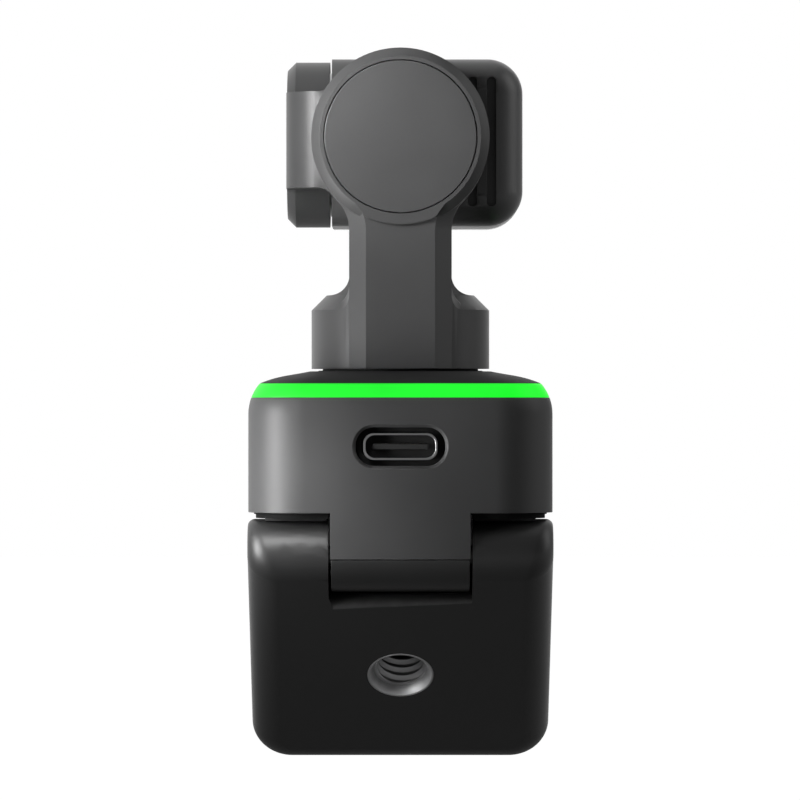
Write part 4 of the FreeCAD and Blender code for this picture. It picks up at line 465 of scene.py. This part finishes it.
# Casings, arms and covers: the CAD shape with its edges rounded over

# The usual rounding, and those of the underside plate, the foot's brow, the band and the fins
EDGE = 0.12
PLATE_EDGE = 0.03
BROW_EDGE = 1.1
BAND_EDGE = 0.45
FIN_EDGE = 0.35
SOFT_SEGMENTS = 4

# The least length of the brow's edge, and half the height of the band
BROW_LENGTH = 10
BAND_HALF = 5.9


def fin_mouths(bm):
    """The rims of the cooling grooves, on the head's rear face."""
    rear = max(vert.co.y for vert in bm.verts)
    return [edge for edge in sharp_edges(bm) if all(rear - vert.co.y < NEAR for vert in edge.verts)]


def band_rims(bm):
    """The long upper and lower edges of the band that goes from the hub round to the tilt motor."""
    low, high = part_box("roll_shaft")
    middle = (low[2] + high[2]) / 2
    return [edge for edge in sharp_edges(bm)
            if all(abs(abs(vert.co.z - middle) - BAND_HALF * MM) < NEAR for vert in edge.verts)]


def notch_brow(bm):
    """The edge of the foot's outer face under the hinge barrel."""
    return [edge for edge in sharp_edges(bm)
            if abs(edge.verts[0].co.x - edge.verts[1].co.x) > BROW_LENGTH * MM
            and any(face.normal.dot(SOCKET_AXIS) > ALIGNED for face in edge.link_faces)]


def dressed(name, node, finish, slot, size=EDGE, soft=None, soft_size=0.0):
    """A CAD node's own shape with its sharp edges rounded over, and some of them rounded more."""
    bm = merged_copy(node)
    if soft:
        round_edges(bm, soft(bm), soft_size, SOFT_SEGMENTS)
    round_edges(bm, sharp_edges(bm), size)
    bmesh.ops.dissolve_degenerate(bm, dist=MERGE, edges=bm.edges)
    new_piece(name, bm, finish, body_of(node), slot, node)


# Piece, node, finish and slot; then, where they differ, the rounding, the softer edges and theirs
DRESSED = (
    ("base_casing", "base_shell", "casing", "casing_black"),
    ("base_dome", "base_top_cover", "dome", "casing_black"),
    ("lit_ring", "light_strip", "strip", "status_light"),
    # Its near-black finish is partly painted shade under the casing
    ("underside_plate", "base_bottom_plate", "black", "casing_black", PLATE_EDGE),
    ("clip_lip", "front_lip", "casing", "casing_black"),
    ("lug_barrel", "hinge_barrel", "foot", "casing_black"),
    ("foot_casing", "foot_shell", "foot", "casing_black", EDGE, notch_brow, BROW_EDGE),
    ("foot_lining", "foot_inner_plate", "foot", "casing_black"),
    ("turret_arm", "pan_arm", "arm", "arm_black"),
    ("arm_hatch", "arm_cover", "arm", "arm_black"),
    ("rear_cap", "roll_cap", "arm", "arm_black"),
    ("side_arm", "roll_arm", "arm", "arm_black", EDGE, band_rims, BAND_EDGE),
    ("side_cap", "tilt_cap", "arm", "arm_black"),
    ("hub_lid", "hub_cover", "arm", "arm_black"),
    ("head_back", "head_rear_shell", "head", "arm_black", EDGE, fin_mouths, FIN_EDGE),
    ("head_front", "head_front_bezel", "front", "front_black"),
    ("lens_rim", "lens_ring", "front", "front_black"),
)
for row in DRESSED:
    dressed(*row)


# Rubber pads with shallow grooves across their gripping faces

PAD_EDGE = 0.15
GROOVE_SLOPE = 0.1


def grooved_pad(name, node, out, pitch=1.5, width=0.55, depth=0.22, margin=1.1):
    """The node's pad with its edges rounded, and grooves along X cut into the face that looks out."""
    out = Vector(out).normalized()
    across = Vector((1, 0, 0))
    along = out.cross(across)
    bm = merged_copy(node)
    round_edges(bm, sharp_edges(bm), PAD_EDGE)
    places = [vert.co.dot(along) for vert in bm.verts]
    low, high = min(places), max(places)
    reach = max(vert.co.x for vert in bm.verts) - margin * MM
    count = int((high - low - 2 * margin * MM) / (pitch * MM))
    span = count * pitch + width
    first = (low + high) / 2 - span * MM / 2
    cuts = [(across, side * reach) for side in (-1, 1)]
    for number in range(count + 1):
        start = first + number * pitch * MM
        cuts += [(along, start), (along, start + width * MM)]
    for direction, level in cuts:
        cut(bm, direction * level, direction)

    def is_groove(face):
        middle = face.calc_center_median()
        place = middle.dot(along)
        return (face.normal.dot(out) > ALIGNED and abs(middle.x) < reach
                and first < place < first + span * MM and (place - first) % (pitch * MM) < width * MM)

    bmesh.ops.inset_individual(bm, faces=[face for face in bm.faces if is_groove(face)],
                               thickness=GROOVE_SLOPE * MM, depth=-depth * MM)
    new_piece(name, bm, "rubber", body_of(node), "rubber_black", node)


grooved_pad("seat_rubber", "seat_pad", (0, 0, -1))
grooved_pad("lip_rubber", "lip_pad", (0, 1, 0), pitch=1.0, width=0.4, depth=0.15, margin=0.7)
grooved_pad("foot_rubber", "foot_pad", -SOCKET_AXIS)


# Screws with a six-lobed drive

# Head radius, head height and shank radius
LARGE_SCREW = (1.5, 0.7, 0.8)
SMALL_SCREW = (0.95, 0.45, 0.5)
SCREW_STEPS = 36

# Shares of the head's radius for the drive and the rim, and of its height for the drive's depth
DRIVE_WIDTH = 0.5
DRIVE_DEPTH = 0.6
RIM_WIDTH = 0.14

# The rim's points, back from the head's side and down from its top, as shares of the rim
RIM_ARC = ((2.0, 0.0), (0.6, 0.4), (0.0, 1.3))

# Shares of the drive's radius: its foot, the span that holds its wall, and its lobes' mean and swing
DRIVE_FOOT = 0.96
DRIVE_WALL = (0.5, 1.01)
LOBES = 6
LOBE_MEAN = 0.9
LOBE_SWING = 0.14


def solids_of(node):
    """The corners of each separate solid in a node."""
    bm = merged_copy(node)
    seen = set()
    found = []
    for start in bm.verts:
        if start in seen:
            continue
        seen.add(start)
        island = [start]
        for vert in island:
            for edge in vert.link_edges:
                other = edge.other_vert(vert)
                if other not in seen:
                    seen.add(other)
                    island.append(other)
        found.append([vert.co.copy() for vert in island])
    bm.free()
    return found


def screw_form(head_radius, head_height, shank_radius, length):
    """A pan-head screw whose head looks along +Z, with the top of the head at the origin."""
    drive, depth, rim = head_radius * DRIVE_WIDTH, head_height * DRIVE_DEPTH, head_radius * RIM_WIDTH
    side = [(head_radius - back * rim, -down * rim) for back, down in RIM_ARC]
    bm = lathed([(drive, 0.0), *side, (head_radius, -head_height), (shank_radius, -head_height),
                 (shank_radius, -length), (0.0, -length), (0.0, -depth), (drive * DRIVE_FOOT, -depth)],
                SCREW_STEPS)
    low, high = [share * drive for share in DRIVE_WALL]
    for vert in bm.verts:
        if low < vert.co.xy.length / MM < high:
            vert.co.xy *= LOBE_MEAN + LOBE_SWING * math.cos(LOBES * math.atan2(vert.co.y, vert.co.x))
    return bm


def make_screws(name, node, head_looks, sizes):
    """A node's screws, all of one length, each where its solid is."""
    looks = Vector(head_looks).normalized()
    across = looks.orthogonal().normalized()
    third = looks.cross(across)
    places = []
    for corners in solids_of(node):
        ends = [corner.dot(looks) for corner in corners]
        middle = looks * max(ends)
        for side in (across, third):
            reach = [corner.dot(side) for corner in corners]
            middle += side * (min(reach) + max(reach)) / 2
        places.append(facing(middle, looks))
        length = (max(ends) - min(ends)) / MM
    form = screw_form(*sizes, length)
    new_piece(name, copies(form, places), "dark_steel", body_of(node), "dark_steel", node)


make_screws("underside_screws", "base_screws", (0, 0, -1), LARGE_SCREW)
make_screws("foot_lining_screws", "foot_screws", -SOCKET_AXIS, LARGE_SCREW)
make_screws("arm_hatch_screws", "arm_screws", (0, -1, 0), SMALL_SCREW)
make_screws("hub_lid_screws", "hub_screws", (0, -1, 0), SMALL_SCREW)


# Tripod insert with its quarter-inch thread, drawn with its mouth at the origin

INSERT_RADIUS = 4.1
INSERT_DEPTH = 5.2
INSERT_EDGE = 0.08
MOUTH_DEPTH = 1.1
MOUTH_PROFILE = ((3.72, -0.12), (3.82, -0.02), (4.0, 0.0))

INCH = 25.4
TURNS_PER_INCH = 20
THREAD_PITCH = INCH / TURNS_PER_INCH
THREAD_ROOT = 3.18
THREAD_CREST = 2.75
THREAD_START = 1.15
THREAD_TURNS = 4.4
THREAD_LEAD = 0.7
THREAD_STEPS = 48

# How far the thread sinks into the bore's wall, and half its height there and at its crest
THREAD_SINK = 0.05
ROOT_HALF = 0.55
CREST_HALF = 0.1


def make_tripod_insert():
    insert = lathed([(INSERT_RADIUS, -INSERT_EDGE), (INSERT_RADIUS, -INSERT_DEPTH),
                     (THREAD_ROOT, -INSERT_DEPTH), (THREAD_ROOT, -MOUTH_DEPTH), *MOUTH_PROFILE], FINE_STEPS)
    root = THREAD_ROOT + THREAD_SINK
    thread = lathed([(root, ROOT_HALF), (THREAD_CREST, CREST_HALF), (THREAD_CREST, -CREST_HALF),
                     (root, -ROOT_HALF)], THREAD_STEPS, turn=THREAD_TURNS * math.tau, rise=THREAD_PITCH)
    move(thread, Matrix.Translation((0, 0, -(INSERT_DEPTH + THREAD_LEAD) * MM)))
    for level, side in ((-INSERT_DEPTH, -1), (-THREAD_START, 1)):
        cut(thread, (0, 0, level * MM), (0, 0, side), drop=True)
        close_holes(thread)
    for form in (insert, thread):
        move(form, facing(SOCKET_MOUTH, SOCKET_AXIS))
    new_piece("tripod_insert", insert, "bush_steel", "foot", "port_steel", "tripod_bush")
    new_piece("tripod_thread", thread, "bush_steel", "foot", "port_steel")


make_tripod_insert()


# Two dark seals under the casing's rear edge, above the foot's shoulders: painted shade that closes the gap
# between casing and foot

# How far their ends lie from the middle, their section, and their place from the rear and in height
SEAL_INNER = 8.9
SEAL_OUTER = 16.3
SEAL_DEPTH = 0.6
SEAL_HEIGHT = 0.36
SEAL_SETBACK = 2.4
SEAL_MIDDLE = -0.4
SEAL_EDGE = 0.06


def make_shade_seals():
    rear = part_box("base_shell")[1][1] - (SEAL_SETBACK + SEAL_DEPTH / 2) * MM
    form = rounded_block((SEAL_OUTER - SEAL_INNER, SEAL_DEPTH, SEAL_HEIGHT), SEAL_EDGE)
    middle = (SEAL_INNER + SEAL_OUTER) / 2 * MM
    places = [Matrix.Translation((side * middle, rear, SEAL_MIDDLE * MM)) for side in (-1, 1)]
    # Dark rubber put in the gap as painted shade
    new_piece("shade_seals", copies(form, places), "rubber", "base", "rubber_black")


make_shade_seals()


# USB-C receptacle

# The sleeve: half the flat between its round corners, its edge, rim and inner bevel, and its floor
SLEEVE_FLAT = 0.36
SLEEVE_EDGE = 0.05
SLEEVE_RIM = 0.16
SLEEVE_BEVEL = 0.06
SLEEVE_FLOOR = 0.8

# The insulator in the sleeve's closed end: how much smaller than it, its flat, length and start
PLUG_SMALLER = 0.6
PLUG_FLAT = 0.32
PLUG_LENGTH = 3.2
PLUG_START = 0.85

# The gasket round the sleeve: how much wider and taller than it, its flat, lip, depths and place
GASKET_WIDER = 2.6
GASKET_TALLER = 2.2
GASKET_FLAT = 0.5
GASKET_LIP = 1.0
GASKET_DEPTH = 0.6
GASKET_HOLLOW = 0.5
GASKET_SETBACK = 1.75

# The tongue and its two rows of contacts
TONGUE_EDGE = 0.14
CONTACT_COUNT = 12
CONTACT_PITCH = 0.5
CONTACT_SIZES = (0.28, 3.4, 0.05)
CONTACT_EDGE = 0.01
CONTACT_SINK = 0.02
CONTACT_SETBACK = 2.3


def port_form(width, height, flat, steps, y):
    """A plate pushed out in steps of depth and growth, closed, in the port's middle at a depth y."""
    low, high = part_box("usb_shell")
    bm = rounded_plate(width, height, height / 2 - flat)
    faces = bm.faces[:]
    for depth, grow in steps:
        faces = extruded(bm, faces, depth, grow)
    close_holes(bm)
    bmesh.ops.recalc_face_normals(bm, faces=bm.faces)
    move(bm, facing(((low[0] + high[0]) / 2, y, (low[2] + high[2]) / 2), (0, 1, 0)))
    return bm


def make_port():
    low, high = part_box("usb_shell")
    width, length, height = [(top - bottom) / MM for bottom, top in zip(low, high)]
    sleeve = port_form(width, height, SLEEVE_FLAT,
                       ((length - SLEEVE_EDGE, 0.0), (SLEEVE_EDGE, -SLEEVE_EDGE), (0.0, -SLEEVE_RIM),
                        (-SLEEVE_BEVEL, -SLEEVE_BEVEL), (SLEEVE_FLOOR + SLEEVE_BEVEL - length, 0.0)), low[1])
    new_piece("port_sleeve", sleeve, "port_steel", "base", "port_steel", "usb_shell")

    plug = port_form(width - PLUG_SMALLER, height - PLUG_SMALLER, PLUG_FLAT, ((PLUG_LENGTH, 0.0),),
                     low[1] + PLUG_START * MM)
    new_piece("port_insulator", plug, "casing", "base", "chip_black")

    gasket = port_form(width + GASKET_WIDER, height + GASKET_TALLER, GASKET_FLAT,
                       ((GASKET_DEPTH, 0.0), (0.0, -GASKET_LIP), (-GASKET_HOLLOW, 0.0)),
                       high[1] - GASKET_SETBACK * MM)
    new_piece("port_gasket", gasket, "rubber", "base", "rubber_black")


def make_tongue():
    low, high = [Vector(corner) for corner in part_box("usb_tongue")]
    bm = merged_copy("usb_tongue")
    round_edges(bm, sharp_edges(bm), TONGUE_EDGE)
    new_piece("port_tongue", bm, "foot", "base", "chip_black", "usb_tongue")
    form = rounded_block(CONTACT_SIZES, CONTACT_EDGE, segments=1)
    places = []
    for number in range(CONTACT_COUNT):
        x = (low.x + high.x) / 2 + (number - (CONTACT_COUNT - 1) / 2) * CONTACT_PITCH * MM
        for level in (low.z + CONTACT_SINK * MM, high.z - CONTACT_SINK * MM):
            places.append(Matrix.Translation((x, high.y - CONTACT_SETBACK * MM, level)))
    new_piece("port_contacts", copies(form, places), "gold", "base", "port_steel")


make_port()
make_tongue()


# Lens: a stepped barrel with baffles, and a black mask printed behind the front glass

TUBE_EDGE = 0.12

# Radius and height from the tube's mouth: three steps, and then three baffles in a plain bore, the
# last of which goes on to the tube's end
TUBE_STEPS = ((4.75, 0.0), (4.7, -0.22), (4.45, -0.22), (4.4, -0.44), (4.15, -0.44), (4.1, -0.7))
TUBE_BAFFLES = ((4.42, -0.72), (4.42, -2.3), (3.7, -2.4), (3.7, -2.8),
                (4.42, -2.9), (4.42, -4.5), (3.5, -4.6), (3.5, -5.0),
                (4.42, -5.1), (4.42, -6.7), (3.3, -6.8))
TUBE_END_RADIUS = 3.3
MASK_PROFILE = ((6.5, 0.06), (4.9, 0.06), (4.9, 0.02), (6.5, 0.02))


def make_lens():
    low, high = [Vector(corner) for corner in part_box("lens_barrel")]
    outer = (high.x - low.x) / 2 / MM
    length = (high.y - low.y) / MM
    tube = lathed([(outer, -length), (outer, -TUBE_EDGE), (outer - TUBE_EDGE, 0.0),
                   *TUBE_STEPS, *TUBE_BAFFLES, (TUBE_END_RADIUS, -length)], FINE_STEPS)
    mask = lathed(MASK_PROFILE, FINE_STEPS)
    mouth = (low + high) / 2
    mouth.y = low.y
    for form in (tube, mask):
        move(form, facing(mouth, (0, -1, 0)))
    new_piece("lens_tube", tube, "front", "head", "front_black", "lens_barrel")
    new_piece("lens_mask", mask, "front", "head", "front_black")


make_lens()


# Inner nodes keep their CAD shape

INNER_FINISH = {
    "board": ("main_board", "led_board", "sensor_board", "touch_board"),
    "chip": ("processor", "microphones", "sensor_holder"),
    "bare_aluminium": ("heat_spreader", "head_heat_plate", "pan_post"),
    "dark_steel": ("board_screws", "head_screws", "hinge_pin", "friction_sleeves"),
    "nickel": ("pan_magnet_ring", "roll_magnet_ring", "tilt_magnet_ring", "pan_bearing", "roll_bearing",
               "tilt_bearing", "roll_shaft", "tilt_shaft"),
    "copper": ("pan_stator", "roll_stator", "tilt_stator"),
    "foot": ("knuckle_clamps",),
    "ribbon": ("arm_cable",),
    "strip": ("status_lamps",),
    "clear_glass": ("front_glass",),
    "coated_glass": ("lens_elements",),
    "sensor_glass": ("image_sensor",),
}
for finish, members in INNER_FINISH.items():
    for node in members:
        NODES[node].data.materials.clear()
        NODES[node].data.materials.append(MATERIALS[finish])


# Stage, lamps and camera, in metres

FLOOR_HEIGHT = -0.12
FLOOR_REACH = 4.0
FLOOR_TONE = (0.3, 0.3, 0.3, 1.0)

# How bright the floor is mirrored in the object, by its distance from the middle: darker near the middle, a
# painted shadow of the object that only gloss sees
FLOOR_DISTANCES = (0.12, 0.7)
FLOOR_MIRRORED_SHADOW = (0.04, 0.6)

# How bright the backdrop is mirrored in the object, from the far side to the camera's, and how
# much it lights the object
BACKDROP_SPAN = (-0.8, -0.1)
BACKDROP_MIRRORED = (0.5, 0.2)
BACKDROP_LIGHT = 0.06


def seen_strength(tree, mirrored):
    """Full strength where the camera sees it, through glass too, and less where gloss mirrors it."""
    path = add(tree, "ShaderNodeLightPath")
    seen = math_node(tree, "MAXIMUM", path.outputs["Is Camera Ray"], path.outputs["Is Transmission Ray"])
    shone = math_node(tree, "MULTIPLY", path.outputs["Is Glossy Ray"], mirrored)
    return math_node(tree, "MAXIMUM", seen, shone)


def floor_material():
    """Pale and glowing from above, and clear from below; where gloss mirrors it, darker near the middle as a
    painted shadow of the object.
    """
    material, tree, surface = empty_material("pale_floor")
    matte = add(tree, "ShaderNodeBsdfDiffuse")
    put(tree, matte.inputs["Color"], FLOOR_TONE)
    distance = add(tree, "ShaderNodeVectorMath", operation="LENGTH")
    put(tree, distance.inputs[0], object_place(tree))
    # Painted shadow: the floor is mirrored darker near the middle, under the object
    mirrored = ranged(tree, distance.outputs["Value"], FLOOR_DISTANCES, FLOOR_MIRRORED_SHADOW)
    glow = add(tree, "ShaderNodeEmission")
    put(tree, glow.inputs["Strength"], seen_strength(tree, mirrored))
    both = add(tree, "ShaderNodeAddShader")
    fill(tree, both, {0: matte.outputs["BSDF"], 1: glow.outputs["Emission"]})
    sides = add(tree, "ShaderNodeMixShader")
    fill(tree, sides, {"Fac": add(tree, "ShaderNodeNewGeometry").outputs["Backfacing"],
                       1: both.outputs["Shader"],
                       2: add(tree, "ShaderNodeBsdfTransparent").outputs["BSDF"]})
    put(tree, surface, sides.outputs["Shader"])
    return material


def make_floor():
    bm = bmesh.new()
    bmesh.ops.create_grid(bm, x_segments=1, y_segments=1, size=FLOOR_REACH)
    bmesh.ops.translate(bm, verts=bm.verts, vec=(0, 0, FLOOR_HEIGHT))
    mesh = bpy.data.meshes.new("floor")
    bm.to_mesh(mesh)
    bm.free()
    floor = new_object("floor", mesh)
    mesh.materials.append(floor_material())


def make_world():
    """A white backdrop all round for the camera, which the object mirrors less on the camera's side."""
    world = bpy.data.worlds.new("studio")
    bpy.context.scene.world = world
    world.use_nodes = True
    tree = world.node_tree
    tree.nodes.clear()
    direction = add(tree, "ShaderNodeSeparateXYZ")
    put(tree, direction.inputs[0], add(tree, "ShaderNodeTexCoord").outputs["Generated"])
    mirrored = ranged(tree, direction.outputs["Y"], BACKDROP_SPAN, BACKDROP_MIRRORED)
    strength = math_node(tree, "MAXIMUM", seen_strength(tree, mirrored), BACKDROP_LIGHT)
    back = add(tree, "ShaderNodeBackground")
    fill(tree, back, {"Color": (1.0, 1.0, 1.0, 1.0), "Strength": strength})
    out = add(tree, "ShaderNodeOutputWorld")
    put(tree, out.inputs["Surface"], back.outputs["Background"])


def area_lamp(name, place, size, watts, aim, spread):
    """A lamp that the camera doesn't see, aimed at a point; the spread is in degrees."""
    lamp = bpy.data.lights.new(name, "AREA")
    lamp.shape = "RECTANGLE"
    lamp.size, lamp.size_y = size
    lamp.energy = watts
    lamp.spread = math.radians(spread)
    made = new_object(name, lamp)
    made.location = place
    made.rotation_euler = (Vector(aim) - Vector(place)).to_track_quat("-Z", "Y").to_euler()
    made.visible_camera = False


def make_camera():
    data = bpy.data.cameras.new("photo_camera")
    data.sensor_width = SENSOR_WIDTH
    data.lens = PIXELS_PER_RADIAN * SENSOR_WIDTH / PHOTO_SIDE
    camera = new_object("photo_camera", data)
    camera.location = CAMERA_PLACE
    camera.rotation_euler = (math.pi / 2, 0, math.pi)
    bpy.context.scene.camera = camera


# Name, place, size, watts, aim and spread; left and right are the photograph's
LAMPS = (
    ("key_high", (0.038, 0.046, 0.058), (0.014, 0.03), 0.021, (0.0, 0.012, 0.056), 85.0),
    ("key_low", (0.050, 0.038, 0.006), (0.02, 0.03), 0.029, (0.0, 0.012, 0.010), 125.0),
    ("hinge_glint", (0.018, 0.042, 0.020), (0.014, 0.014), 0.0019, (0.016, 0.019, -0.003), 60.0),
    ("right", (-0.4, 0.02, 0.22), (0.25, 0.4), 0.6, (0.0, 0.0, 0.04), 180.0),
    ("front_fill", (0.2, -0.6, 0.3), (1.4, 1.0), 3.6, (0.0, 0.0, 0.012), 180.0),
    ("top", (0.0, -0.05, 0.5), (0.4, 0.4), 0.4, (0.0, 0.0, 0.012), 180.0),
)

make_floor()
make_world()
for row in LAMPS:
    area_lamp(*row)
make_camera()
bpy.context.scene.view_settings.view_transform = "Standard"
